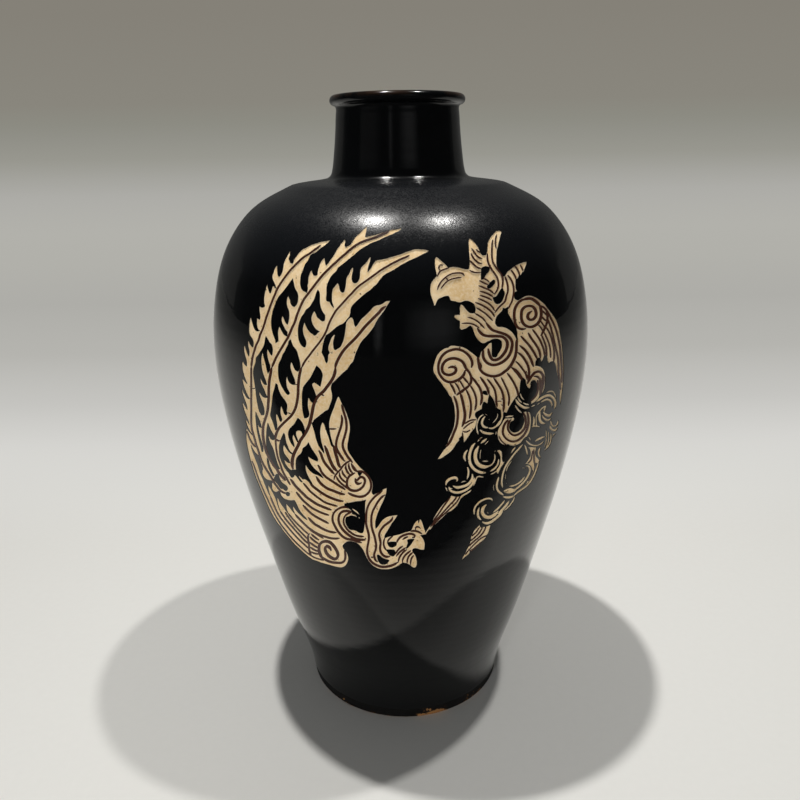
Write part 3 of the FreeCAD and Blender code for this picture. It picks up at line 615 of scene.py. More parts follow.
    (1.8, [(396, 556.7), (398, 554), (401, 551.2), (404, 549.1), (406.3, 547.8)]),
    (1.8, [(398.2, 562.7), (398.6, 560), (400, 556.6), (402.5, 553.2), (405, 551), (407, 549.8)]),
    (1.8, [(402.4, 562.8), (402.6, 560), (404, 557), (406, 554.6), (408.5, 552.5), (411, 550.7)]),
    (1.8, [(407, 563.7), (407.5, 559.6), (409, 556.2), (411, 554.1), (413, 552.6)]),
    (1.7, [(410.5, 565.5), (410.8, 561), (412, 557.6), (413.8, 555.7)]),
    # strands of the right bird's tail tip
    (1.5, [(450.5, 497), (448, 500.3), (445, 504.6), (442, 508.7), (440, 512), (437.5, 515.6),
           (435, 519), (433, 522)]),
    (1.4, [(457, 495), (456, 498), (453, 502), (450, 505), (447.4, 508), (445, 510.7), (442.5, 513.5),
           (440, 516.2), (437.4, 519), (435, 521.6), (432.8, 524.2), (430.3, 527.3)]),
    (1.2, [(460.3, 496), (458.5, 499.6), (456.5, 502.6), (454, 505.2), (451, 508), (448, 510.8),
           (444.5, 514.2), (441, 517.2), (438, 520.2), (435.6, 522.7), (433, 525.5)]),
]

# the right bird, as text: x,y of each point, and ! after a sharp corner

rightCuts = [
    # head, crest, neck, both wings and breast
    """436.5,256.5! 440,259.5 443.5,262.5 446,265 448.6,267.7! 452,266.9 456,267 460,267.7 464,268.8
    467,269.3 468.8,269! 469.3,266.5 469.6,263 469.7,259.5 469.3,255 468.8,250 468.6,245 468.7,241
    469.2,238.2! 470.7,238.5 473,240.5 475.5,243 477.5,246 479,249 480.3,252 482,254.6 484,255.3!
    486.5,254.7! 487.3,251 487.5,247 488,242.5 489.3,239.3 491.5,236 494,233.3 496.3,231 498.8,230.2
    501.8,231! 501,234 500,236.5 499.6,239 499,242 498.3,245 497.5,248! 497,250.5 496.8,254 496.5,258
    496.6,262 497,265.5 498,268.5 499.5,271 501.3,273.5 503,276.6! 505.2,276! 506,274 507.5,271.8
    510.5,269.5 513,267.5 516,265.5 519,264 521.5,263 524,262.2 526.8,261.8! 526.3,265 525.3,267.5
    524.5,270 523.8,272.3! 522.8,271.5! 521.8,273.5 520.3,275.5! 519.2,275! 518.3,277.3 517,279!
    516.2,278.5! 515.8,281 515.8,284 515.9,287.5 516.5,289.8 517.8,291.4! 515.8,291.5 514.8,293.3
    514.5,296 515.5,299.3 518.4,300.3! 524.5,296.6! 527.5,295.8 530.5,295.7 534,296.7 538,298.8
    542,301.8 545.3,304.7! 548,308.5 551.5,313 554.5,317 557,321.5 558.8,327 560.2,333 561.2,339
    562.3,345 562.8,351 563.3,357 563.8,364 564,371 563.6,379 563,386 562.3,392 561.7,397 561,402
    560.3,405! 559.8,401 559.8,396 560,391 559.6,386 559,381 557.8,376 556.8,371 556,366 554.7,362.3!
    553,361.3 551,361.7 549.2,363.6! 548,361.5 547.5,358.5 546.9,355.8! 545,355.3 543.5,358.5
    542.3,361 541.2,362! 540.7,359.5 540.2,357.5! 538.2,358.2! 536.4,360.5 535.5,366! 538.5,366.2
    541.5,367.5 543.8,370 545.2,374 545.6,379 545.3,384 544.5,389 543,393! 540.8,394.5 538,399.5
    534,402.8 531.3,404.3! 531,400! 534.5,397 536.3,393 537,388 537,383.5 535,380.5! 533,380.3
    530.5,383.8! 531,386.5 530,388.6! 527.5,387 526.3,384 525.5,379.5! 523,377.7! 521,381! 520.2,386
    520,392! 518.5,395 516.5,397! 513.5,401 511,405 508.5,409 507,413! 504,412! 503.3,413.5!
    500.3,409.7! 497.3,408.3 495.5,405 494.4,401.5! 491.2,396.3 489.5,394.5! 488.2,399.5 487.6,404!
    484,402 482.6,404.5 482,409! 478,411.3! 475.5,413 475.3,416.5 477.3,419.5! 476.3,424 475.3,427.5
    473,430.3! 470.5,433.5 468.5,437 466,440.5 464,442.8! 463.7,440 463.5,437 462.5,435.3!
    460.8,437 458.7,439! 459.3,440.5! 456.5,443.8 454.5,447 452,450.5 449,453.2 445,456 441,458.7
    437.6,459.3! 439.5,456.5 441.5,453.5 444,450 446.3,447.3 445.8,445.8! 447.8,442 449,438.5
    450.8,435 452.5,431 454,426 454.8,421 455,416 454.7,411.5 454.6,409 454,405 452.5,401
    451.3,397.5 449,395 447.3,391.5 445,388.5 442.5,385 440,381.5 437.5,378.5 435.7,375.3
    433.8,372.5 433.3,369 434,364.5 435.3,360 436.7,356.5 439,353 442,350.3 445.5,348.3 448.5,347.8!
    450,346.2 453,345.8 458,346.3 462.5,347.2 467,349.3 471,352.3 474.5,355 477,357! 479.5,358!
    480.3,355 481.5,351.7 483.2,350.3! 485.5,347.7 487.5,345.5 490,343! 490,341! 488,341.2
    485.5,342.8 482.5,343.2 479.8,341.5 477,338.5 475,335 473.5,331 472,327 470.3,325.5! 469,326.2
    467,327.8 464,329 461.3,329.8! 460,328.5 460,325 459.8,321! 456.5,319.3 454.1,317.2! 454.5,315.8
    457,315 459.7,315! 460,312 459.8,308 460.8,304.5! 462.8,305.3 464.8,307.7 467.5,311 470,313
    472.5,313.5 475,313! 475.4,311 475.6,308.5 475,306 473.8,303.8! 470.5,301.8 467,300.7 464,301
    460.5,302.3 457,301.9 453.5,301 450.7,300.3 449.6,297.5 448.3,295.8! 444.5,296.3 441,297.7
    438.2,299 437,301 435.8,304 434.3,305.9! 433.3,302 432,298.5 430.8,294.5 430.2,290 430.5,286
    432,281.5 434.5,278.5 437,276! 436.3,272.5 435.5,268.5 434.9,264 435,259""",
    # the wide scroll under the breast
    """524,412! 527,411.8 529.8,412.3! 531,416 531.3,420 531,426 530.3,430.5 528.8,434 527.3,436.5!
    525,438 522.8,440.5 521.5,442.5! 518,444.8 514,446 510.5,445.5 508.3,444.3! 505,445 502,444
    499.3,441 498,437 497.5,433 498.3,429.5 500,426.5 502,423.5 503.5,420.5 505.5,418.5! 511.5,418.6!
    512.5,417.6 514.4,418.5 513.7,420.8! 511.5,421.7 510,424.5 509.7,428.5 510.8,431 513.5,432.5
    516.5,432.3 520,430.3 522.5,427 524,423 524.4,419 523.3,415.5""",
    # light field beside the third scroll
    """497,451! 499.5,450.1 501.5,451.8 502.3,455.5 502.3,459.5 503,462.5 505.6,459.2! 504.3,463
    502,466.5 500,470 498.3,474.3! 496.7,472.5 496.7,470 498.5,467.5 500,464 500.5,459.5 500,455.5""",
    # root of the long drop
    """528.5,447.4! 531.5,447.2 534,447.6 536.6,447.6! 535.8,452 536.5,457 538.8,459.5 539.9,461!
    538,463.2 535.5,463.4! 534.3,462! 534.6,466 534.5,470 533,475 530.5,480 527.5,484 524.8,486.7!
    527,482.5 530,477.5 531.8,472.5 532,468.5 530.8,466 528,464.3! 525.3,464! 528,460.5 530,457
    530.8,452.5 530,449.5""",
    "503.3,491! 507,489 510.5,488.2 514,489 518,488.2! 516,491 512.5,493 509,493.9 505.5,493",
    # the last feather of the long drop's tail
    """479.8,525! 480,527! 483,527.2 487,526.5! 490.7,524.9! 489.5,530 487.5,535! 485.7,536.6
    486,537.6! 484.5,539.5 481,542.3 478,545.5 474.5,549 471.8,551.2! 470.3,550.7! 469.5,553.5
    467,556 464.5,558 461.9,560.4! 462.8,557.5 464.8,554.5 466.5,550.5 468.5,547 469.9,543.6!
    470.5,541.5 470.9,539.8! 471,537.5 472.3,535 474,531 476.5,528.3""",
]

rightGaps = [
    """481.3,268! 484,266.4 487,266.2 489.3,267.3 489.7,270 488,272.5 486,275 484.3,277.5 483,279.5
    481.7,279.9 481,277 481.2,272""",
    """490,282.3 491.7,281 493.5,279.6 495,280.3 495.3,283 493.5,285.3 491.5,287.5 489,288.5
    487.3,287.5 487.7,285.5 489.3,284.3""",
    """502.5,287.8! 503.8,290.5 505,293 504.3,296 503,299.5 501.5,302 499.5,303.8 497,304.2 494.8,302.5
    493.5,299.5 492.9,297.3! 496,296.3 498,294 499.5,291.5 501,289""",
    """503,307.6! 505.3,308.4 508,306.5! 508,309.5 508,312.5 509.7,316 512,320 514,324 516,327.5
    517,331 517.3,335 517.9,339.5! 516.8,339.5! 515.3,336.5 513,333 509.5,330 505.5,327.8 501,327
    497.5,326.5 495.7,324 495.7,320 496.8,316.5 499,314 501,312 502.8,310""",
    """490,340.5! 494,338.9 498.5,339.2 501.3,341 502,344 501.5,348 499.8,351.5 497.8,354.5 497,356.5
    495.5,357.5 493,357 492,353! 492,348 491.9,342.8! 490.3,343.3""",
    "483.2,391.2! 486,390.8 487.5,393.5 488,395.2! 484.5,394.8 483,393.8",
]

rightStrips = [
    # small scroll in the hollow below the left wing
    (1.5, "478.5,434.7 477.1,430.3 476.9,425.5 478,421 479.8,417.5 483.7,414.6"),
    (2.4, "485.3,416.5 483,419.5 482,423 483,426 485.5,427.5 488.3,427.8"),
    (1.9, "488.5,428 492,428.5 495.5,427 498.3,424 500,420.5"),
    (1.1, "497.7,413.2 497.5,417 495.5,420.3 492.5,423.3"), (1.9, "488.8,420.3 489.5,419.5"),
    (0.8, "485.2,414.1 487.6,415.4"), (2.5, "479.8,429.8 483,432.3 487,433.5 491,433.8 494,433.4"),
    (1.8, "496.3,431.7 495.9,435"), (2.1, "501,407.5 502.2,412 502.2,417 500.5,422 497.8,426.5"),
    (1.8, "505.3,417 509,416.6 513.6,416"),
    # arcs of the two scrolls on the right
    (1.4, "520.3,393.2 521.5,397 524.5,400.3"), (1.6, "517.8,396.8 519.5,400.5 522.4,403"),
    (1.6, "523,402.8 526,404.3 529.3,405"),
    (2.6, "515.7,399 517.5,402.5 520.5,405.5 524.5,407.7 529.8,407.7"),
    (1.6, "515.3,405.2 517.5,409 521.8,413.2"), (1.5, "531.3,407 535.5,405"), (1.5, "537.3,405 540.3,402.8"),
    (1.9, "540.8,402.7 543.7,400.8 547,399.6 550,400.5 551.7,403 552,407.3"),
    (2.5, "536.5,402 540.5,399 545,396.4 549.5,395.6 553,397.6 555.3,401 555.6,405 554.3,409"),
    (1.5, "546.5,393 549.5,391.6 552.8,391.7 555,394.5 556.3,398.5"),
    (1.5, "546.7,405.8 543.5,407.5 540,411 537.3,414.7 536.4,418 536.3,422 537,426.7"),
    (2.2, "546.3,406.5 544.8,409 544.7,412.3"), (2.6, "543.2,412 546,414.8 549,415.8 552.3,412.6"),
    (1.8, "542.3,415.3 544.5,418.8 547.5,420.4 551.4,418.3"),
    (2.8, "540.3,411 539.7,415.5 540,420 542,423 545.7,423.6"),
    (1.7, "551,420.5 552,424.8 554.5,426.7 557,425 558.3,420.3"),
    (2, "550,425 551.3,429 554.5,430.8 557.7,427.5"),
    (1.6, "552.7,437.6 554,434.7 556,433.5"), (1.3, "546.3,429.5 546.7,435 546.5,441 544.8,447.5"),
    (1.3, "548.5,431.5 549,437.5 548.3,443 546.3,447.6"), (1.6, "551,433 551.2,438.5 549.8,444 544.6,450.5"),
    (2.2, "533.8,416.5 534.2,422 533,427.8"), (1.6, "531.8,427 535,426.3 540.3,427.3"),
    # the scroll below the left wing
    (2, "477.7,441.7 480,439.3 482.3,437.3"), (3.2, "480.8,443.6 483.7,441.3 487,438.7"),
    (1, "484.6,445.3 486.7,443 488.8,440.8"),
    (2.9, "475.3,443.2 472,447.5 470.2,452.5 469.4,457.5 470,462.5 472,466.8 475.5,470.3 480,472.4 486,472.9"),
    (3.8, "478.8,446.2 477,449.5 475.6,454 475.6,459 477.3,463.3 481,466.3 486,467 489.5,466"),
    (1.6, "487.5,466.6 491,465.3 494,461.8 495,458 494.5,454"),
    (2.5, "467.6,450 465,454 464.3,457.5 465.9,461.4"),
    (0.9, "481.2,449.5 480.3,454 480.3,459.3"), (1.2, "482.5,461.3 488.5,461.4"),
    (1.4, "494.9,452.4 495.4,450.4"),
    (2, "490,471.6 494.5,468.8 498,464 498.8,459"), (1.3, "490.3,474.6 494,473 497.5,470.5"),
    (2, "467.4,467.2 468.5,471 468.3,475 467,479.5"), (1.6, "468.3,470.5 469.7,471.5"),
    (2.8, "472.3,474 472.4,478.5 470.3,482.3 466.5,485.4 462,487 457,487.6 453,486"),
    (2.5, "474.8,477.8 473.2,482.8 470,487 465,490.6 460,492.4 455,492.6 451,491 448.5,487.5"),
    (1.5, "483.8,477.5 477.3,477.3 475.7,480.5 473.5,486.4"),
    (1.9, "471.5,490.2 467,493.4 463,495.6 459.5,498.5"),
    (2.8, "445.8,485.5 446.8,482 449,479.7 452.5,478.2 455.7,478 457.3,479.5 456.6,481.9"),
    (1.2, "445.7,487 447.3,491.7"), (1.2, "461,482.9 463.5,481.7 466.3,481.4"),
    (1.6, "448.8,487 450,488.5 452.6,488.7"),
    # the long drop
    (2, "523,444.5 519,449 514.5,454 510.5,459.5 507,464.5 504.5,469.5 503,474.5 502,480 502,485 502.9,488"),
    (1.8, "516,447 512.7,451 511.2,453.5"), (1.3, "512,461 509,465 507,469 506.4,472"),
    (0.8, "505.7,474 505.7,480"), (1.4, "506.2,483 506.8,484"), (0.8, "494.2,484.5 493.6,488 494.4,491.5"),
    (2.2, "499,477 497.5,482 496.9,487 498.2,491 501,493.5 504,495.6"),
    (2.4, "502.8,496.5 507,497.7 511,497.3 515,495.5"),
    (2.2, "514,490.8 518.5,487.5 523,483.3 527,478.3 529.5,473.3 530,469 528.8,466.6 526,465.9"),
    (1.9, "509.2,486.4 513.5,485.9 517.5,484.2 521.5,481.2 525,476.5"),
    (1.9, "538.6,462.5 536.7,469 534.5,474.5 531.5,480.3 527.5,485.5 522,489.6 517,493.2 513.7,496.3"),
    (1.8, "524.7,445 526.3,449 527.7,455.6"), (2.1, "540.6,447.3 538.9,451.5 539,455 541,458"),
    (1.6, "526.2,440.5 530,444.3 535,445.8 540,444.7 544,441"), (2.3, "535,441.5 539.5,439 545,436.7"),
    (1.8, "529,437.3 531,440.6"), (0.8, "522.3,468 525.3,468.4"),
    # its tail and the last scroll
    (1.6, "514.8,496.5 513.5,500.5 511,504.3 508,507.7 504,511"),
    (2.6, "509.5,501 506,506 502,510.5 497.5,514.5"),
    (2, "505,500.5 501,505.5 497,509.7 493,513"),
    (2.8, "503,511.5 499.5,515.5 495.5,519 491,522.3 486.5,523.5 482.3,522"),
    (2.3, "481.3,520.3 478.4,517 478,512.5 479.3,507.5"),
    (2, "474.6,515 474.2,510.5 475.7,506.5 479.5,502.4 484,499.8 488.5,498.7 491.5,499.2 492.7,501.3"),
    (3.4, "498.5,511 495,514.7 491.5,517 488,517.6 484.5,516.3 482.5,513 482.7,509.7 484.3,506.8 486.6,504.8"),
    (1.1, "487,512 488.6,513.9"),
]

rightLines = [
    # head
    (1.5, "437.5,289.9 439,285 441.5,281.3 445,277.8 449,275 453.5,273.3 458,272.9 462,273.3 464.6,275.7"),
    (1.5, "440.9,288.7 443.5,285 447,281.5 451,279.3 456,278 461.5,277.3"), (1.4, "445.8,277.3 448.7,281.2"),
    (1.4, "443.2,265.3 441,264.7 439.2,266 438.8,268.3 440.5,270.5"),
    (1.6, "437.3,276.5 438.3,274 440,271.5 443,269.7 446,268.8 448.8,267.9"),
    # crest
    (1.3, "469.7,270.2 473,271.8 477,272.5 481.3,272.2"), (1.7, "469.9,260.3 473.5,264 477,267 481.8,268.8"),
    (1.5, "471,252.8 473,257 476.5,261 480,263.3 482.3,263.2"),
    (1.5, "471.8,248.1 475,253 478.5,257 482.2,258.8"),
    (1.3, "476,249 478.3,251.3 480.7,252.7"), (1.3, "496.8,234.2 495.7,239 495.5,243.5 496.3,248.3"),
    (1.5, """492.7,239.7 492.1,246 492,252 492.2,258 493.3,262.5 495.3,266 498,269.8 501,273.5 502.7,278
    502.9,283 502,288.5"""),
    (1.5, """487.6,253.5 487.5,259 488.7,263.5 491,268 494,272.5 497,277 498.5,282 498.5,286 497,290.5
    494.3,294.3"""),
    (1.2, "520.2,264.5 522,267.5 523.2,271"), (1.4, "514.9,265.8 518,270 520,275.8"),
    (1.4, "511.2,270 514.5,274.5 516.5,279.7"),
    (1.5, "507.8,275 511.5,280 513.5,285.5 514,290.5 513.3,296 512,301.5 510,305.5 508.4,309"),
    (1.7, "505.2,276.5 507,281.5 508,286.5 508,291 506.5,296 505,301.5 501.5,305 498.5,308 494.9,313"),
    # neck
    (1.3, "482.5,278 486.5,279.7 489.7,282.2"), (1.6, "479.5,280.5 484,282.8 488.5,285"),
    (1.7, "478.8,285.4 483,287.3 487,289 491,291 494.2,293.9"),
    (1.7, "479.7,291 484.5,292.5 489,294.3 493,297"),
    (1.7, "479.8,295.2 484.5,296.8 488.5,298.3 492.2,300.6"),
    (1.7, "478.2,298.3 483,300.5 487,302.5 490.5,305 493,307.7 494.8,311"),
    (1.8, "475.3,302.2 480,304.3 485,306.8 489.5,310 493,313.7 494.7,317"),
    (1.6, "476.3,307.6 480.5,310.2 485,313.2 489,316.8 492.8,320.8"),
    (1.7, "474.8,313.2 479,315.7 483,318.5 486,322.3"),
    (1.6, "467.7,317.2 473,318.8 478,321.7 481.5,325 484.7,328.5"),
    (1.5, "461.7,323.6 467,323.2 472,324 476,325.8 479.3,328.2"),
    # breast scroll
    (2.8, """477.3,328 480,332 483,334.8 487,336 492,336.3 498,336.3 502.5,337 505.5,339 507.3,342 507.3,346.5
    506,350.5 503,355 499.5,358.5 496,360 492.5,359.7 490.3,356.5 489,352.5 488.2,348.4"""),
    (2.7, """486,322.5 489,326.5 492.5,330 497,331.8 502,333.2 507,335.3 510.5,338.5 512.3,342.5 512,348
    510.3,353.5 507,358.5 502,362.5 496,364.8 491,364.8 486.5,362.3 483.8,358.5 483,353.5 483.6,350.2"""),
    (2.6, """517.4,338 516.7,344 516.5,350 515.5,356 513,362 509.5,367.5 504.5,372 499,375.3 493.5,376.4
    487.5,375.3 482.5,372.5 480,369 479,364.5 478.2,359.5 477.7,355.5"""),
    (2.6, "480,362.5 481,367 480.5,370"),
    # right wing
    (3, "522,300.5 527,298.7 531,298.6 535,300.7 538,303.3 541,307"),
    (2.7, """539.5,304.5 541.2,309.5 541.4,314 540.7,318.5 538.5,322.8 535,325.7 531,327 527,326.3 523.5,323.5
    521.8,319.5 521.5,314.5 522.3,310 525,307 529,305.9 532.5,306.5 535,308.8 536.3,312.5 535.8,316.5
    533.3,319.3 530.3,319.8 528,317.8 528.3,314.3 530.5,312 532.2,310.8"""),
    (2.5, """526.5,298.8 520.5,301 516.5,305.5 514.8,310 514.3,315 514.8,320 516,324.5 518.5,328 522,329.2
    526.2,328.6"""),
    (1.9, "540.5,305.3 544,307.5 547,311 547.7,315 547.6,319 547.3,322 545.5,327 543.5,331.5 541,336"),
    (1.7, "541,309.7 545,313.2 547.5,316"), (1.8, "541,315.7 544.3,319.2 547.3,321.8"),
    (1.3, "540.7,320.8 543.3,324.7 545.3,328"), (1.3, "538.2,324.5 541.5,328.3 543.5,332"),
    (1.8, """544,307.3 547.5,311.5 550.5,317 554,324 556.8,331.5 558.8,340 560.4,349 561.3,358 562,367 562.5,375
    562,383"""),
    (1.6, "547.6,318.5 550.5,326 552.5,333 554.5,341 556.3,349 558,357 558.7,365 558.8,372 560,382 561,390"),
    (1.4, "546.1,327 549.5,332.5 551.8,338.5 553.3,345 554.3,351 554.5,357 554,361.8"),
    (1.4, "544.1,332 547,338 549.3,344 550.5,350 550.9,358"),
    (1.5, "541.8,335 544,340.5 546,346 546.7,351 547,357"),
    (1.7, "532.5,329.3 536.5,334.5 540,340 542.5,345.5 544.3,351 545,356.5"),
    (2.1, "528.3,332.7 531,337.5 534.5,342.5 537.5,347 539.8,352 540.7,358.5"),
    (2.2, "521,336 525,340.5 529,345 532.5,350 535.5,355 537.6,359.5"),
    (2.4, "519.7,345.5 524.5,349.5 528,354 531,359.5 533.7,367"),
    (2.2, "517.8,352.3 522.5,356.5 526,361.5 528.5,367 529.3,373 528,378.5"),
    (1.8, "515.7,361 519.5,365 523,369.5 526,374 527.3,380"),
    (3.4, "511.7,367.5 516.5,371.5 520,376 523,381.5"),
    (2.4, """527.5,384 529.5,379.5 532,376 535,372.8 538.5,371.7 541.5,373 543.3,376.5 543.6,380.5 542.9,385
    541,392 540,396"""),
    (2.1, "534,376.6 537.5,377 540,379.3 541,383.5 541,388 540.3,392.5"),
    (1.7, "537.7,380 538.5,386 537.8,391 536,395.5 533,399 530,402"),
    # breast and left wing
    (2, "507.2,373 511.5,379 515,385 517.5,391 518.5,397"),
    (1.7, "501.3,377.5 505,385 508,392 509.3,399 508.4,406"),
    (2.1, "493.7,378 498.5,385 502.3,392 503.8,399 504,405 503.3,412"),
    (1.9, "487.2,379.2 491.5,384.5 494.5,389.5 496,395.5 496.3,401 497.3,407"),
    (2.4, "480.2,377 484,382.5 487.3,388 489.3,395"),
    (2.4, "472.2,377 476,382.5 479.5,387.5 481.5,393 482,399 480.3,405.5"),
    (2.6, """471.3,368 472.3,363 470.5,358 467,353.8 462.5,350.8 457,349.3 451,350.3 446,352.5 442,356.3
    439.5,361 438.3,366.5 438.8,372 441.3,377 445.5,381 450,382.3 455,381.3 460,378.8 463.8,374.8 465.3,370"""),
    (2.8, """466.5,371 465,366 462.3,361.8 458.5,359.5 453,358.5 447.5,359.8 443.5,363.5 442,368.5 443.3,372.8
    447.5,375 452.5,374.3 455.8,371.5 455.5,368 452.5,367 448,368.2"""),
    (2.4, "463,363.5 466,368.5 469.5,373 471.2,378 470.8,383 469.3,386"), (3.2, "468,384.3 470.5,383.5"),
    (2.4, "470.5,384.5 466,388.5 461.5,391.5 456.5,395.5"), (3.6, "460.5,392.3 463.5,391.8"),
    (2.2, "462.3,376.2 465.5,380 468.8,384"), (1.7, "459,379.7 462,384.5 464.5,389"),
    (2, "454.7,382.7 458,387 459.7,392"),
    (2.3, "449.5,383 453.5,389 455.3,394.5"), (1.9, "470,385 473.5,391 476,398 476.3,404 474.7,410.7"),
    (2, "465.7,389 469,396 470.8,403 470.8,411 469.3,419"),
    (2.7, "460.3,392.5 462.3,400 464,408 465,416 464,422 462,427"),
    (2.4, "453.7,396 456.5,403 457.7,410 457.7,418 456.5,426 453.5,434 450.5,441 446,447.3"),
    (1.4, "465,424 469.5,421 476.5,419.8"), (1.2, "463.3,429.3 468,425 474,421.6"),
    (1.2, "462.5,431.3 466,432.2 470.3,430"),
    (1.5, "462.5,432.5 463,439"), (1.1, "501,404.8 504.5,406.3"),
    (1, "497,401.5 501.7,401.2"), (1.7, "501.7,399.6 503,398.4"),
    # scroll under the breast, the long drop and the last feather
    (1.9, """521.8,411.5 525.3,416.5 526,421.5 525.3,427 522.5,431.5 518.5,434.5 514,435.5 510.5,433.5 508.3,430
    508,426 509,422.5 511.5,419.5"""),
    (2, """527,411.3 528.3,416 528.7,422 527.5,428.5 525.5,433 522,437.5 517.5,440.7 513,441.7
    508.5,440.5 505,437.5 503,433.5 503.5,428 505,424 508.5,419.8"""),
    (1.2, "499,436 501.5,441 506.5,445"), (1, "532.8,451 532,456 531,460.5 528,463.5"),
    (1.3, "534,449.5 534.2,456 534.5,463.5"),
    (0.9, "533.2,470 531.3,476 528.3,481.5"), (1.1, "479.7,527.2 476.5,532 472,536.5"),
    (1.2, "482.7,527 479.5,533 475,537.5 470.5,541.3"),
    (1.3, "486.2,526.5 483.5,532.5 479,537.5 473.5,542 469,546.5"),
    (1, "487,535.6 481,538.6 476.5,542.5 472,547 468,551.5 465.3,555"),
    (1, "482,542 477,546 473,549.5 469.5,551.5"),
]


def readPoints(text):
    points = []
    for word in text.split():
        x, y = word.rstrip("!").split(",")
        points.append((float(x), float(y), 1) if word.endswith("!") else (float(x), float(y)))
    return points


birdCuts += [readPoints(text) for text in rightCuts]
birdGaps += [readPoints(text) for text in rightGaps]
birdStrips += [(width, readPoints(text)) for width, text in rightStrips]
birdLines += [(width, readPoints(text)) for width, text in rightLines]


def outlinePixels(shape, step=1.3):
    # rounds each stretch between two sharp corners
    points = np.array([point[:2] for point in shape], float)
    corners = [i for i, point in enumerate(shape) if len(point) > 2]
    if not corners:
        return hermite(points, True, step)
    line = []
    for start, stop in zip(corners, corners[1:] + [corners[0] + len(shape)]):
        stretch = points[[i % len(shape) for i in range(start, stop + 1)]]
        line.append(hermite(stretch, False, step)[:-1])
    return np.concatenate(line)


def linePixels(width, points, step=1.3, tipShare=0.35):
    # a band along the points that narrows to a share of its width at both ends
    middle = hermite(np.array(points, float), False, step)
    way = np.gradient(middle, axis=0)
    way /= np.linalg.norm(way, axis=1)[:, None]
    side = np.stack([-way[:, 1], way[:, 0]], axis=1)
    length = np.concatenate([[0], np.cumsum(np.linalg.norm(np.diff(middle, axis=0), axis=1))])
    fromEnd = np.minimum(length, length[-1] - length)
    half = width / 2 * (tipShare + (1 - tipShare) * np.clip(fromEnd / (1.5 * width), 0, 1))
    return np.concatenate([middle + side * half[:, None], (middle - side * half[:, None])[::-1]])


flatRadius = 0.1               # turns are laid out flat at this radius, so that both ways are lengths


def laidFlat(pixels):
    turn, along = pixelsOnVase(pixels)
    return np.stack([turn * flatRadius, along], axis=1) * 1000


def insideOutline(points, outline):
    found = np.zeros(len(points), bool)
    low = outline.min(axis=0)
    high = outline.max(axis=0)
    near = np.where(((points >= low) & (points <= high)).all(axis=1))[0]
    if len(near) == 0:
        return found
    x = points[near, 0]
    y = points[near, 1]
    crossed = np.zeros(len(near), bool)
    ax, ay = outline[:, 0], outline[:, 1]
    bx, by = np.roll(ax, -1), np.roll(ay, -1)
    for i in range(len(outline)):
        if ay[i] == by[i]:
            continue
        spans = (ay[i] > y) != (by[i] > y)
        crossed ^= spans & (x < (bx[i] - ax[i]) * (y - ay[i]) / (by[i] - ay[i]) + ax[i])
    found[near] = crossed
    return found


cuts = [laidFlat(outlinePixels(shape)) for shape in birdCuts]
gaps = [laidFlat(outlinePixels(shape)) for shape in birdGaps]
strips = [laidFlat(linePixels(width, points)) for width, points in birdStrips]
lines = [laidFlat(linePixels(width, points)) for width, points in birdLines]
outlines = cuts + gaps + strips + lines
print("carving drawn:", len(cuts), "cuts,", len(gaps), "gaps,", len(strips), "strips,", len(lines), "lines")


def isCarved(points):
    found = np.zeros(len(points), bool)
    for outline in cuts:
        found |= insideOutline(points, outline)
    for outline in gaps:
        found &= ~insideOutline(points, outline)
    for outline in strips:
        found |= insideOutline(points, outline)
    for outline in lines:
        found &= ~insideOutline(points, outline)
    return found


def rowPlaces():
    # rows along the profile, close together where it turns sharply
    places = [0.0]
    while places[-1] < profileLength[-1]:
        at = places[-1]
        ahead = min(at + glazeValues["rowStep"], profileLength[-1])
        here = np.array([np.interp(at, profileLength, profileSlope[:, k]) for k in (0, 1)])
        there = np.array([np.interp(ahead, profileLength, profileSlope[:, k]) for k in (0, 1)])
        bend = math.acos(max(-1.0, min(1.0, float(here @ there))))
        sharp = bend >= glazeValues["sharpBend"]
        places.append(at + glazeValues["fineRowStep" if sharp else "rowStep"])
    places[-1] = profileLength[-1]
    if places[-1] - places[-2] < glazeValues["leastRowStep"]:
        places.pop(-2)
    return np.array(places)


layoutValues = {
    # millimetres on the flat layout
    "outlineGap": 0.35,         # a point of the grid nearer to an outline than this is left out
    "seamStart": 290,           # past this the grid stays whole, up to the seam at the back
    "seamFace": 50,             # a face that reaches further than this spans the seam
    "scatterStep": 1.3,         # between the points for the tool marks
    "weld": 1e-4,
    # shares of the rim's width: rim points apart, from an outline to them, and to the scatter
    "cellShare": 0.7,
    "rimGapShare": 0.8,
    "scatterGapShare": 2,
}


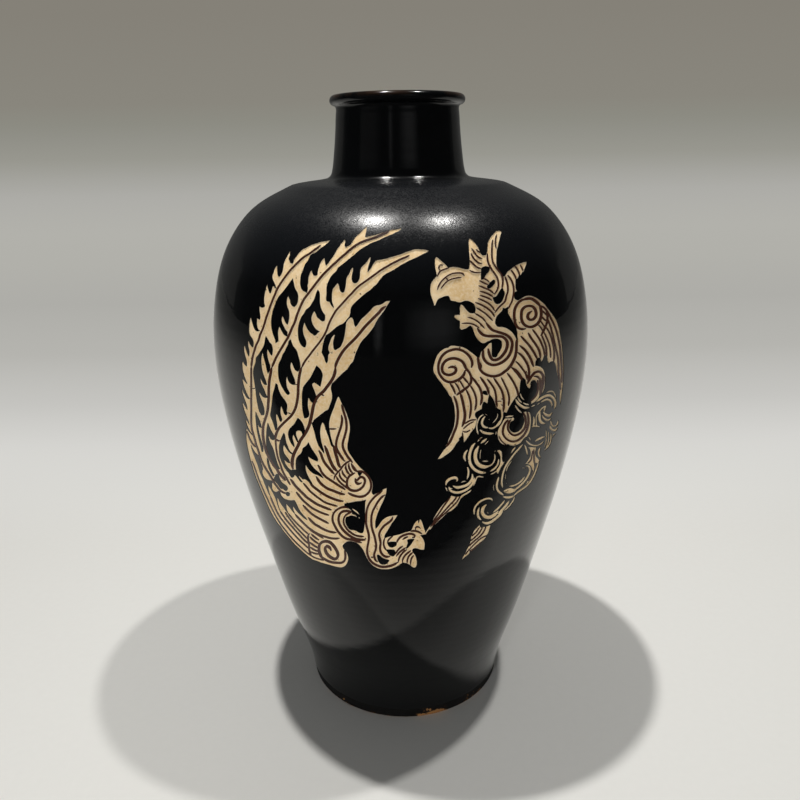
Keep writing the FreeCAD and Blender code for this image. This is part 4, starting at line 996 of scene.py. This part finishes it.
def triangulateCoat():
    columns = np.linspace(-math.pi, math.pi, glazeValues["columns"] + 1) * flatRadius * 1000
    rows = rowPlaces() * 1000
    grid = np.stack(np.meshgrid(columns, rows), axis=-1).reshape(-1, 2)
    points = []
    edges = []
    for outline in outlines:
        first = len(points)
        points.extend(outline)
        edges.extend((first + i, first + (i + 1) % len(outline)) for i in range(len(outline)))
    outlinePoints = np.array(points)
    tree = kdtree.KDTree(len(outlinePoints))
    for i, (x, y) in enumerate(outlinePoints):
        tree.insert((x, y, 0), i)
    tree.balance()

    def gapTo(point):
        return tree.find((point[0], point[1], 0))[2]

    # a row of points just inside each cut, for the paler rim
    rim = glazeValues["rimWidth"] * 1000
    insets = []
    for outline in outlines:
        way = np.roll(outline, -1, axis=0) - np.roll(outline, 1, axis=0)
        way /= np.maximum(np.linalg.norm(way, axis=1), 1e-9)[:, None]
        side = np.stack([-way[:, 1], way[:, 0]], axis=1)
        insets.append(outline + side * rim)
        insets.append(outline - side * rim)
    insets = np.concatenate(insets)
    insets = insets[isCarved(insets)]
    insets = [p for p in insets if gapTo(p) > layoutValues["rimGapShare"] * rim]
    keptInsets = []
    cells = set()
    cellSize = layoutValues["cellShare"] * rim
    for p in insets:
        cell = (round(p[0] / cellSize), round(p[1] / cellSize))
        if cell not in cells:
            cells.add(cell)
            keptInsets.append(p)
    # a looser scatter over the wide parts, for the tool marks
    low = outlinePoints.min(axis=0)
    high = outlinePoints.max(axis=0)
    step = layoutValues["scatterStep"]
    across, up = np.meshgrid(np.arange(low[0], high[0], step), np.arange(low[1], high[1], step))
    across = across + (np.arange(len(across))[:, None] % 2) * step / 2
    scatter = np.stack([across, up], axis=-1).reshape(-1, 2)
    scatter = scatter[isCarved(scatter)]
    scatter = [p for p in scatter if gapTo(p) > layoutValues["scatterGapShare"] * rim]
    grid = [p for p in grid
            if abs(p[0]) > layoutValues["seamStart"] or gapTo(p) > layoutValues["outlineGap"]]
    everything = [Vector((float(p[0]), float(p[1]))) for p in points + grid + keptInsets + scatter]
    result = delaunay_2d_cdt(everything, edges, [], 0, layoutValues["weld"], False)
    places = np.array([(v.x, v.y) for v in result[0]])
    faces = np.array(result[2])
    a, b, c = (places[faces[:, k]] for k in range(3))
    area = (b[:, 0] - a[:, 0]) * (c[:, 1] - a[:, 1]) - (b[:, 1] - a[:, 1]) * (c[:, 0] - a[:, 0])
    faces[area < 0] = faces[area < 0][:, ::-1]
    faces = faces[np.abs(area) > 1e-9]
    return places, faces


def closeTheBack(places, faces, tolerance=1e-3):
    # the two ends of the flat layout are one line on the vase
    edge = math.pi * flatRadius * 1000
    left = {round(p[1], 3): i for i, p in enumerate(places) if abs(p[0] + edge) < tolerance}
    swap = np.arange(len(places))
    for i, p in enumerate(places):
        if abs(p[0] - edge) < tolerance:
            swap[i] = left[round(p[1], 3)]
    faces = swap[faces]
    used = np.unique(faces)
    order = np.full(len(places), -1)
    order[used] = np.arange(len(used))
    return places[used], order[faces]


def borderEdges(faces):
    # directed edges that only one face has
    edges = np.concatenate([faces[:, [0, 1]], faces[:, [1, 2]], faces[:, [2, 0]]])
    known = {(int(a), int(b)) for a, b in edges}
    return [(a, b) for a, b in known if (b, a) not in known]


def shellMesh(name, places, faces, topDepth, bottomDepth):
    # a closed sheet between two depths below the outer face, over the given faces
    used = np.unique(faces)
    order = np.full(len(places), -1)
    order[used] = np.arange(len(used))
    faces = order[faces]
    flat = places[used] / 1000
    turn = flat[:, 0] / flatRadius
    topPlaces, normals = surfacePoints(turn, flat[:, 1], topDepth[used])
    bottomPlaces, _ = surfacePoints(turn, flat[:, 1], bottomDepth)
    count = len(used)
    border = np.array(borderEdges(faces))
    walls = np.stack([border[:, 1], border[:, 0], border[:, 0] + count, border[:, 1] + count], axis=1)
    mesh = bpy.data.meshes.new(name)
    polygons = [tuple(f) for f in faces.tolist()]
    polygons += [tuple(f[::-1]) for f in (faces + count).tolist()]
    polygons += [tuple(f) for f in walls.tolist()]
    mesh.from_pydata(np.concatenate([topPlaces, bottomPlaces]).tolist(), [], polygons)
    mesh.polygons.foreach_set("use_smooth", np.ones(len(polygons), bool))
    loopNormals = [normals[faces.reshape(-1)], -normals[faces[:, ::-1].reshape(-1)]]
    corner = np.concatenate([topPlaces, bottomPlaces])[walls]
    across = np.cross(corner[:, 1] - corner[:, 0], corner[:, 3] - corner[:, 0])
    across /= np.maximum(np.linalg.norm(across, axis=1), 1e-12)[:, None]
    loopNormals.append(np.repeat(across, 4, axis=0))
    mesh.update()
    mesh.normals_split_custom_set(np.concatenate(loopNormals).tolist())
    return mesh, used


def addPiece(name, mesh):
    piece = bpy.data.objects.new(name, mesh)
    scene.collection.objects.link(piece)
    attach(piece, "root")
    return piece


places, faces = closeTheBack(*triangulateCoat())
centres = places[faces].mean(axis=1)
offSeam = np.abs(places[faces][:, :, 0] - centres[:, None, 0]).max(axis=1) < layoutValues["seamFace"]
cutFaces = np.zeros(len(faces), bool)
cutFaces[offSeam] = isCarved(centres[offSeam])
print("coat laid out:", len(faces), "triangles,", int(cutFaces.sum()), "of them carved")

coatMesh, coatUsed = shellMesh("glazeCoat", places, faces[~cutFaces],
                               np.zeros(len(places)), glazeValues["thickness"])
# 1 where the glaze was left as a line inside the carving, for its brown
onLine = np.zeros(len(faces), bool)
for outline in lines:
    onLine[offSeam] |= insideOutline(centres[offSeam], outline)
linePoints = np.zeros(len(places))
linePoints[np.unique(faces[onLine & ~cutFaces])] = 1.0
linePoints[np.unique(faces[~onLine & ~cutFaces])] = 0.0
lineShare = coatMesh.attributes.new("line", "FLOAT", "POINT")
lineShare.data.foreach_set("value", np.concatenate([linePoints[coatUsed]] * 2))
glazeCoat = addPiece("glazeCoat", coatMesh)
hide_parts("outer_glaze")

carvedFaces = faces[cutFaces]
rimPoints = np.zeros(len(places))
rimPoints[np.unique(np.array(borderEdges(carvedFaces)))] = 1.0
across, slant, up = glazeValues["toolWaves"]
toolMarks = np.sin(places[:, 0] * across + places[:, 1] * slant) + np.sin(places[:, 1] * up)
floorDepth = glazeValues["cutDepth"] + np.where(rimPoints > 0, -glazeValues["rimLift"],
                                                glazeValues["toolDepth"] * toolMarks)
clayMesh, clayUsed = shellMesh("carvedClay", places, carvedFaces, floorDepth,
                               glazeValues["thickness"] - glazeValues["clayLift"])
rimShare = clayMesh.attributes.new("rim", "FLOAT", "POINT")
rimShare.data.foreach_set("value", np.concatenate([rimPoints[clayUsed]] * 2))
carvedClay = addPiece("carvedClay", clayMesh)
print("glaze coat and carved clay built")


# finishes

def newMaterial(name):
    material = bpy.data.materials.new(name)
    material.use_nodes = True
    tree = material.node_tree
    return material, tree, tree.nodes["Principled BSDF"]


def addPlace(tree, kind="Object"):
    # the coordinates, whole and as X, Y and Z
    place = tree.nodes.new("ShaderNodeTexCoord").outputs[kind]
    split = tree.nodes.new("ShaderNodeSeparateXYZ")
    tree.links.new(place, split.inputs["Vector"])
    return place, split.outputs


def addNoise(tree, place, scale, detail, roughness):
    noise = tree.nodes.new("ShaderNodeTexNoise")
    noise.inputs["Scale"].default_value = scale
    noise.inputs["Detail"].default_value = detail
    noise.inputs["Roughness"].default_value = roughness
    tree.links.new(place, noise.inputs["Vector"])
    return noise.outputs["Fac"]


def addRange(tree, value, fromLow, fromHigh, toLow=0.0, toHigh=1.0):
    step = tree.nodes.new("ShaderNodeMapRange")
    step.inputs["From Min"].default_value = fromLow
    step.inputs["From Max"].default_value = fromHigh
    step.inputs["To Min"].default_value = toLow
    step.inputs["To Max"].default_value = toHigh
    tree.links.new(value, step.inputs["Value"])
    return step.outputs["Result"]


def addMath(tree, operation, first, second):
    step = tree.nodes.new("ShaderNodeMath")
    step.operation = operation
    for socket, value in zip(step.inputs, (first, second)):
        if isinstance(value, (int, float)):
            socket.default_value = value
        else:
            tree.links.new(value, socket)
    return step.outputs["Value"]


def addWindow(tree, value, low, high, soft):
    # 1 between low and high, fading to 0 on both sides
    return addMath(tree, "MULTIPLY", addRange(tree, value, low - soft, low + soft),
                   addRange(tree, value, high + soft, high - soft))


def addMix(tree, share, first, second):
    mix = tree.nodes.new("ShaderNodeMix")
    mix.data_type = "RGBA"
    tree.links.new(share, mix.inputs["Factor"])
    for socket, value in zip((mix.inputs[6], mix.inputs[7]), (first, second)):
        if isinstance(value, tuple):
            socket.default_value = (*value, 1.0)
        else:
            tree.links.new(value, socket)
    return mix.outputs[2]


def addBump(tree, height, strength, distance, normal=None):
    bump = tree.nodes.new("ShaderNodeBump")
    bump.inputs["Strength"].default_value = strength
    bump.inputs["Distance"].default_value = distance
    tree.links.new(height, bump.inputs["Height"])
    if normal is not None:
        tree.links.new(normal, bump.inputs["Normal"])
    return bump.outputs["Normal"]


glazeFinish = {
    "black": (0.0017, 0.0019, 0.0021),
    "brown": (0.060, 0.029, 0.014),
    # the shoulder's bluish grey: partly its dull surface, partly painted sheen around the lamps' highlights
    "line": (0.055, 0.021, 0.013),
    "hazeAndSheen": (0.012, 0.0135, 0.0165),
    "refraction": 1.46,
    # noise: scale, detail, roughness
    "clouds": (26.0, 5.0, 0.6),
    "fine": (420.0, 3.0, 0.6),
    "grain": (1700.0, 2.0, 0.5),
    "rings": {"Scale": 60.0, "Distortion": 1.2, "Detail": 2.0},
    # where the glaze is brown and where the shoulder is hazy: metres, from none to full; the brown is thin
    # glaze at the lip and the foot, and painted reflection of a brown band on the right side
    # the strip on the right side is painted reflection of a brown band, not thin glaze
    "paintedSideReflection": (0.089, 0.098),
    "lipThin": (0.3375, 0.3402),
    "footThin": (0.0065, 0.0022),
    "shoulder": (0.255, 0.285),
    "belowNeck": (0.3015, 0.2975),
    "brownClouds": (0.42, 0.62),
    "hazeAndSheenShare": 0.5,
    # roughness: from and to going up, the levels there, then what the haze adds
    "roughness": (0.25, 0.28, 0.055, 0.14),
    "satin": 0.145,
    "fineMottle": (0.35, 0.65, -0.03, 0.03),
    "grainMottle": (0.35, 0.65, -0.07, 0.07),
    # bumps: strength and height
    "ringBump": (0.014, 0.0006),
    "cloudBump": (0.12, 0.0012),
    "fineBump": (0.10, 0.0003),
    "grainBump": (0.45, 0.00008),
}


def makeGlaze():
    material, tree, shader = newMaterial("blackGlaze")
    place, split = addPlace(tree)
    x, z = split["X"], split["Z"]
    clouds = addNoise(tree, place, *glazeFinish["clouds"])
    fine = addNoise(tree, place, *glazeFinish["fine"])
    grain = addNoise(tree, place, *glazeFinish["grain"])
    # brown where the glaze ran thin on the lip's crest and the foot, and painted reflection of a brown band on
    # the right side
    paintedSideReflection = addRange(tree, x, *glazeFinish["paintedSideReflection"])
    lipThin = addRange(tree, z, *glazeFinish["lipThin"])
    footThin = addRange(tree, z, *glazeFinish["footThin"])
    brownShare = addMath(tree, "MAXIMUM", addMath(tree, "MAXIMUM", paintedSideReflection, lipThin), footThin)
    cloudStep = addRange(tree, clouds, *glazeFinish["brownClouds"])
    brownShare = addMath(tree, "MULTIPLY", brownShare, cloudStep)
    colour = addMix(tree, brownShare, glazeFinish["black"], glazeFinish["brown"])
    # the glaze left as lines between cuts is thin and brown
    attribute = tree.nodes.new("ShaderNodeAttribute")
    attribute.attribute_name = "line"
    colour = addMix(tree, attribute.outputs["Fac"], colour, glazeFinish["line"])
    # satin on the shoulder, glossier below; the shoulder's colour is lifted to a bluish grey, partly its dull
    # hazy surface and partly painted sheen around the lamps' highlights
    shoulder = addRange(tree, z, *glazeFinish["shoulder"])
    belowNeck = addRange(tree, z, *glazeFinish["belowNeck"])
    satin = addMath(tree, "MULTIPLY", shoulder, belowNeck)
    hazeAndSheenShare = addMath(tree, "MULTIPLY", satin, glazeFinish["hazeAndSheenShare"])
    colour = addMix(tree, hazeAndSheenShare, colour, glazeFinish["hazeAndSheen"])
    tree.links.new(colour, shader.inputs["Base Color"])
    roughness = addMath(tree, "ADD", addRange(tree, z, *glazeFinish["roughness"]),
                        addMath(tree, "MULTIPLY", satin, glazeFinish["satin"]))
    mottle = addMath(tree, "ADD", addRange(tree, fine, *glazeFinish["fineMottle"]),
                     addRange(tree, grain, *glazeFinish["grainMottle"]))
    mottle = addMath(tree, "MULTIPLY", mottle, satin)
    tree.links.new(addMath(tree, "ADD", roughness, mottle), shader.inputs["Roughness"])
    shader.inputs["IOR"].default_value = glazeFinish["refraction"]
    # throwing rings, uneven flow, and the shoulder's orange peel
    rings = tree.nodes.new("ShaderNodeTexWave")
    rings.bands_direction = "Z"
    for setting, value in glazeFinish["rings"].items():
        rings.inputs[setting].default_value = value
    tree.links.new(place, rings.inputs["Vector"])
    normal = addBump(tree, rings.outputs["Fac"], *glazeFinish["ringBump"])
    normal = addBump(tree, clouds, *glazeFinish["cloudBump"], normal)
    for noise, bump in ((fine, "fineBump"), (grain, "grainBump")):
        peel = addMath(tree, "MULTIPLY", noise, satin)
        normal = addBump(tree, peel, *glazeFinish[bump], normal)
    tree.links.new(normal, shader.inputs["Normal"])
    return material


clayFinish = {
    "tan": (0.66, 0.45, 0.21),
    "straw": (0.80, 0.60, 0.34),
    "rim": (0.82, 0.69, 0.50),
    "speck": (0.10, 0.055, 0.025),
    "stain": (0.0045, 0.0042, 0.0040),
    "edge": (0.10, 0.055, 0.028),
    "chip": (0.31, 0.15, 0.055),
    # where the foot's edge is chipped: from and to across the front, and how much
    "chipPlaces": ((0.007, 0.025, 0.26), (0.034, 0.052, 0.16), (-0.054, -0.034, 0.12)),
    "chipSoft": 0.003,
    "chipFront": (-0.030, -0.034),
    "chipFall": 45.0,           # how fast the chips thin out going up, per metre
    # the stained edge: its top, its distance from the axis and the step from clay to stain
    "edgeTop": (0.014, 0.012),
    "edgeOut": (0.0560, 0.0568),
    "stainStep": (0.0005, 0.0009),
    # noise: scale, detail, roughness
    "clouds": (70.0, 4.0, 0.55),
    "grain": (900.0, 4.0, 0.65),
    "specks": (620.0, 2.0, 0.4),
    "chips": (260.0, 3.0, 0.7),
    "cloudStep": (0.38, 0.62),
    "grainStep": (0.40, 0.66, 0.0, 0.55),
    "rimStep": (0.0, 1.0, 0.0, 0.85),
    "speckStep": (0.70, 0.76),
    "chipStep": (0.60, 0.65),
    "roughness": 0.86,
    "cloudBump": (0.3, 0.0006),
    "grainBump": (0.35, 0.00012),
}


def makeClay():
    material, tree, shader = newMaterial("bareClay")
    place, split = addPlace(tree)
    clouds = addNoise(tree, place, *clayFinish["clouds"])
    grain = addNoise(tree, place, *clayFinish["grain"])
    specks = addNoise(tree, place, *clayFinish["specks"])
    attribute = tree.nodes.new("ShaderNodeAttribute")
    attribute.attribute_name = "rim"
    cloudStep = addRange(tree, clouds, *clayFinish["cloudStep"])
    colour = addMix(tree, cloudStep, clayFinish["tan"], clayFinish["straw"])
    for value, step, paint in ((grain, "grainStep", "rim"), (attribute.outputs["Fac"], "rimStep", "rim"),
                               (specks, "speckStep", "speck")):
        share = addRange(tree, value, *clayFinish[step])
        colour = addMix(tree, share, colour, clayFinish[paint])
    # the foot's outer edge is stained dark, with a few chips
    flat = tree.nodes.new("ShaderNodeVectorMath")
    flat.operation = "MULTIPLY"
    flat.inputs[1].default_value = (1.0, 1.0, 0.0)
    tree.links.new(place, flat.inputs[0])
    outward = tree.nodes.new("ShaderNodeVectorMath")
    outward.operation = "LENGTH"
    tree.links.new(flat.outputs["Vector"], outward.inputs[0])
    height = split["Z"]
    chips = addNoise(tree, place, *clayFinish["chips"])
    front = addRange(tree, split["Y"], *clayFinish["chipFront"])
    for low, high, share in clayFinish["chipPlaces"]:
        spot = addWindow(tree, split["X"], low, high, clayFinish["chipSoft"])
        spot = addMath(tree, "MULTIPLY", spot, front)
        chips = addMath(tree, "ADD", chips, addMath(tree, "MULTIPLY", spot, share))
    fall = addMath(tree, "MULTIPLY", height, clayFinish["chipFall"])
    chips = addMath(tree, "SUBTRACT", chips, fall)
    edgeColour = addMix(tree, addRange(tree, height, *clayFinish["stainStep"]),
                        clayFinish["edge"], clayFinish["stain"])
    edgeColour = addMix(tree, addRange(tree, chips, *clayFinish["chipStep"]),
                        edgeColour, clayFinish["chip"])
    edge = addMath(tree, "MULTIPLY", addRange(tree, height, *clayFinish["edgeTop"]),
                   addRange(tree, outward.outputs["Value"], *clayFinish["edgeOut"]))
    colour = addMix(tree, edge, colour, edgeColour)
    tree.links.new(colour, shader.inputs["Base Color"])
    shader.inputs["Roughness"].default_value = clayFinish["roughness"]
    normal = addBump(tree, clouds, *clayFinish["cloudBump"])
    normal = addBump(tree, grain, *clayFinish["grainBump"], normal)
    tree.links.new(normal, shader.inputs["Normal"])
    return material


innerFinish = {
    "dark": (0.020, 0.013, 0.009),
    "light": (0.055, 0.034, 0.020),
    "clouds": (45.0, 4.0, 0.6),
    "fine": (500.0, 3.0, 0.6),
    "cloudStep": (0.4, 0.65),
    "roughness": (0.3, 0.7, 0.24, 0.42),
    "fineBump": (0.2, 0.0003),
}


def makeInnerGlaze():
    material, tree, shader = newMaterial("brownInnerGlaze")
    place, _ = addPlace(tree)
    clouds = addNoise(tree, place, *innerFinish["clouds"])
    fine = addNoise(tree, place, *innerFinish["fine"])
    tree.links.new(addMix(tree, addRange(tree, clouds, *innerFinish["cloudStep"]),
                     innerFinish["dark"], innerFinish["light"]), shader.inputs["Base Color"])
    tree.links.new(addRange(tree, fine, *innerFinish["roughness"]), shader.inputs["Roughness"])
    tree.links.new(addBump(tree, fine, *innerFinish["fineBump"]), shader.inputs["Normal"])
    return material


slipFinish = {
    "pale": (0.55, 0.42, 0.28),
    "grey": (0.42, 0.33, 0.24),
    "clouds": (160.0, 4.0, 0.6),
    "cloudStep": (0.35, 0.65),
    "roughness": 0.9,
    "cloudBump": (0.4, 0.0005),
}


def makeSlip():
    material, tree, shader = newMaterial("firedSlip")
    place, _ = addPlace(tree)
    clouds = addNoise(tree, place, *slipFinish["clouds"])
    tree.links.new(addMix(tree, addRange(tree, clouds, *slipFinish["cloudStep"]),
                     slipFinish["pale"], slipFinish["grey"]), shader.inputs["Base Color"])
    shader.inputs["Roughness"].default_value = slipFinish["roughness"]
    tree.links.new(addBump(tree, clouds, *slipFinish["cloudBump"]), shader.inputs["Normal"])
    return material


def dress(piece, material):
    piece.data.materials.clear()
    piece.data.materials.append(material)


blackGlaze = makeGlaze()
bareClay = makeClay()
innerGlaze = makeInnerGlaze()
firedSlip = makeSlip()
dress(glazeCoat, blackGlaze)
dress(carvedClay, bareClay)
dress(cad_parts["outer_glaze"], blackGlaze)
dress(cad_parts["inner_glaze"], innerGlaze)
for nodeName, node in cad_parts.items():
    if nodeName.endswith("_lute"):
        dress(node, firedSlip)
    elif nodeName.endswith(("_section", "_collar", "_ring")):
        dress(node, bareClay)
print("finishes assigned")


# floor, sky and lamps

stageValues = {
    "floorColour": (0.775, 0.775, 0.75),
    "floorSize": 12.0,
    "wallHeight": 3.0,
    "frontShade": (0.085, 0.17),       # the glaze mirrors a floor that darkens towards the viewer
    "glossFloor": 0.035,
    "wallBlend": (0.15, 0.38),         # further back the floor takes the tones below
    "floorNoise": (220.0, 3.0, 0.6),
    "floorMottle": 0.985,
    "floorRoughness": 0.9,
    "floorShine": 0.1,
    "skySeen": (0.242, 0.227, 0.198),
    "skyLight": (0.13, 0.13, 0.127),
    "skyGloss": (0.016, 0.017, 0.018),
    "skyGlossBack": (0.10, 0.10, 0.095),
    "skyTurn": (0.25, 0.9),            # where the mirrored sky turns paler, going back
    # tall pale things in the room that the neck mirrors: sideways from and to, softness, level
    "bandHeights": (0.02, 0.28, 0.08),
    "roomBands": ((0.15, 0.60, 0.14, 0.22), (-0.26, -0.20, 0.03, 0.34), (-2.9, -0.75, 0.2, 0.08)),
    "wallLight": (0.27, 0.27, 0.26),
    "wallGloss": (0.11, 0.11, 0.105),
    "lampHeight": 1.6,
    "lampColour": (1.0, 0.98, 0.95),
    "lampSize": 0.05,
    "lamps": (("rightLamp", 0.42, 8.3), ("leftLamp", -0.235, 13.8)),
    # a light from the front, which the glaze doesn't mirror
    "fill": {"place": (-0.8, -1.85, 0.24), "aim": (0.0, 0.0, 0.2), "power": 68.0, "size": 0.15,
             "angle": 24, "blend": 0.8},
    # tones of the floor going back, and of the wall going up: metres, then 0 to 255
    "floorTones": ((0.226, (222, 222, 218)), (0.35, (215, 214, 210)), (0.524, (197, 196, 192)),
                   (0.785, (181, 180, 175)), (1.22, (174, 173, 168)), (1.86, (177, 176, 170)),
                   (2.77, (178, 177, 171)), (4.79, (174, 173, 168)), (6.0, (172, 171, 166))),
    "wallTones": ((0.0, (172, 171, 166)), (0.129, (164, 163, 157)), (0.207, (158, 157, 150)),
                  (0.286, (152, 151, 143)), (0.441, (145, 144, 136)), (0.555, (140, 139, 130)),
                  (0.706, (137, 134, 125)), (1.354, (133, 129, 120))),
}


def linearTone(tone):
    shares = [level / 255 for level in tone]
    return [c / 12.92 if c <= 0.04045 else ((c + 0.055) / 1.055) ** 2.4 for c in shares]


def addTones(tree, value, stops):
    # a colour ramp over the stops; the last one's place is the ramp's end
    reach = stops[-1][0]
    ramp = tree.nodes.new("ShaderNodeValToRGB")
    elements = ramp.color_ramp.elements
    elements.remove(elements[1])
    for i, (at, tone) in enumerate(stops):
        element = elements[0] if i == 0 else elements.new(at / reach)
        element.position = at / reach
        element.color = (*linearTone(tone), 1.0)
    tree.links.new(addRange(tree, value, 0.0, reach), ramp.inputs["Fac"])
    return ramp.outputs["Color"]


def mixShaders(tree, share, first, second):
    mix = tree.nodes.new("ShaderNodeMixShader")
    tree.links.new(share, mix.inputs["Fac"])
    tree.links.new(first, mix.inputs[1])
    tree.links.new(second, mix.inputs[2])
    return mix.outputs["Shader"]


def addGlow(tree, colour):
    glow = tree.nodes.new("ShaderNodeEmission")
    if isinstance(colour, tuple):
        glow.inputs["Color"].default_value = (*colour, 1.0)
    else:
        tree.links.new(colour, glow.inputs["Color"])
    return glow.outputs["Emission"]


def addStage():
    bpy.ops.object.select_all(action="DESELECT")
    bpy.ops.mesh.primitive_plane_add(size=stageValues["floorSize"])
    floor = bpy.context.object
    floor.name = "paleFloor"
    material, tree, shader = newMaterial("paleFloor")
    place, split = addPlace(tree)
    back = split["Y"]
    mottle = addNoise(tree, place, *stageValues["floorNoise"])
    colour = stageValues["floorColour"]
    darker = tuple(level * stageValues["floorMottle"] for level in colour)
    tone = addMix(tree, addRange(tree, mottle, 0.3, 0.7), darker, colour)
    tree.links.new(tone, shader.inputs["Base Color"])
    shader.inputs["Roughness"].default_value = stageValues["floorRoughness"]
    shader.inputs["Specular IOR Level"].default_value = stageValues["floorShine"]
    lightPath = tree.nodes.new("ShaderNodeLightPath")
    # further back the floor blends into the wall
    far = addMath(tree, "MULTIPLY", addRange(tree, back, *stageValues["wallBlend"]),
                  lightPath.outputs["Is Camera Ray"])
    distant = addGlow(tree, addTones(tree, back, stageValues["floorTones"]))
    surface = mixShaders(tree, far, shader.outputs["BSDF"], distant)
    # towards the viewer the mirrored floor is in shade
    near, end = stageValues["frontShade"]
    front = addMath(tree, "MULTIPLY", addRange(tree, back, -near, -end),
                    lightPath.outputs["Is Glossy Ray"])
    level = stageValues["glossFloor"]
    surface = mixShaders(tree, front, surface, addGlow(tree, (level, level, level)))
    tree.links.new(surface, tree.nodes["Material Output"].inputs["Surface"])
    floor.data.materials.append(material)


def addWall():
    bpy.ops.object.select_all(action="DESELECT")
    size = stageValues["floorSize"]
    height = stageValues["wallHeight"]
    wallMesh = bpy.data.meshes.new("softWall")
    wallMesh.from_pydata([(-size, size / 2, 0), (size, size / 2, 0), (size, size / 2, height),
                          (-size, size / 2, height)], [], [(0, 1, 2, 3)])
    wall = bpy.data.objects.new("softWall", wallMesh)
    scene.collection.objects.link(wall)
    material, tree, shader = newMaterial("softWall")
    _, split = addPlace(tree)
    tones = addTones(tree, split["Z"], stageValues["wallTones"])
    lightPath = tree.nodes.new("ShaderNodeLightPath")
    unseen = addMix(tree, lightPath.outputs["Is Glossy Ray"],
                    stageValues["wallLight"], stageValues["wallGloss"])
    colour = addMix(tree, lightPath.outputs["Is Camera Ray"], unseen, tones)
    tree.links.new(addGlow(tree, colour), tree.nodes["Material Output"].inputs["Surface"])
    wall.data.materials.append(material)


def addSky():
    world = bpy.data.worlds.new("studio")
    world.use_nodes = True
    scene.world = world
    tree = world.node_tree
    lightPath = tree.nodes.new("ShaderNodeLightPath")
    _, split = addPlace(tree, "Generated")
    mirrored = addMix(tree, addRange(tree, split["Y"], *stageValues["skyTurn"]),
                      stageValues["skyGloss"], stageValues["skyGlossBack"])
    # the bands' places are shares of the way towards the viewer's side
    ahead = addMath(tree, "MAXIMUM", addMath(tree, "MULTIPLY", split["Y"], -1.0), 0.01)
    sideways = addMath(tree, "DIVIDE", split["X"], ahead)
    level = addWindow(tree, split["Z"], *stageValues["bandHeights"])
    for low, high, soft, brightness in stageValues["roomBands"]:
        band = addMath(tree, "MULTIPLY", addWindow(tree, sideways, low, high, soft), level)
        mirrored = addMix(tree, band, mirrored, (brightness, brightness, brightness))
    glossy = addMix(tree, lightPath.outputs["Is Glossy Ray"], stageValues["skyLight"], mirrored)
    seen = addMix(tree, lightPath.outputs["Is Camera Ray"], glossy, stageValues["skySeen"])
    tree.links.new(seen, tree.nodes["Background"].inputs["Color"])


def placeLamp(data, place, aim):
    # a lamp shines along its own -Z
    lamp = bpy.data.objects.new(data.name, data)
    turn = (Vector(place) - Vector(aim)).to_track_quat("Z", "Y").to_matrix().to_4x4()
    lamp.matrix_world = Matrix.Translation(place) @ turn
    scene.collection.objects.link(lamp)
    return lamp


def addLamps():
    for name, x, power in stageValues["lamps"]:
        data = bpy.data.lights.new(name, "AREA")
        data.shape = "DISK"
        data.size = stageValues["lampSize"]
        data.energy = power
        data.color = stageValues["lampColour"]
        placeLamp(data, (x, 0.0, stageValues["lampHeight"]), (0.0, 0.0, 0.0))
    values = stageValues["fill"]
    data = bpy.data.lights.new("frontFill", "SPOT")
    data.shadow_soft_size = values["size"]
    data.spot_size = math.radians(values["angle"])
    data.spot_blend = values["blend"]
    data.energy = values["power"]
    data.specular_factor = 0.0
    fill = placeLamp(data, values["place"], values["aim"])
    fill.visible_glossy = False
    fill.visible_camera = False


addStage()
addWall()
addSky()
addLamps()
print("stage, sky and lamps set")
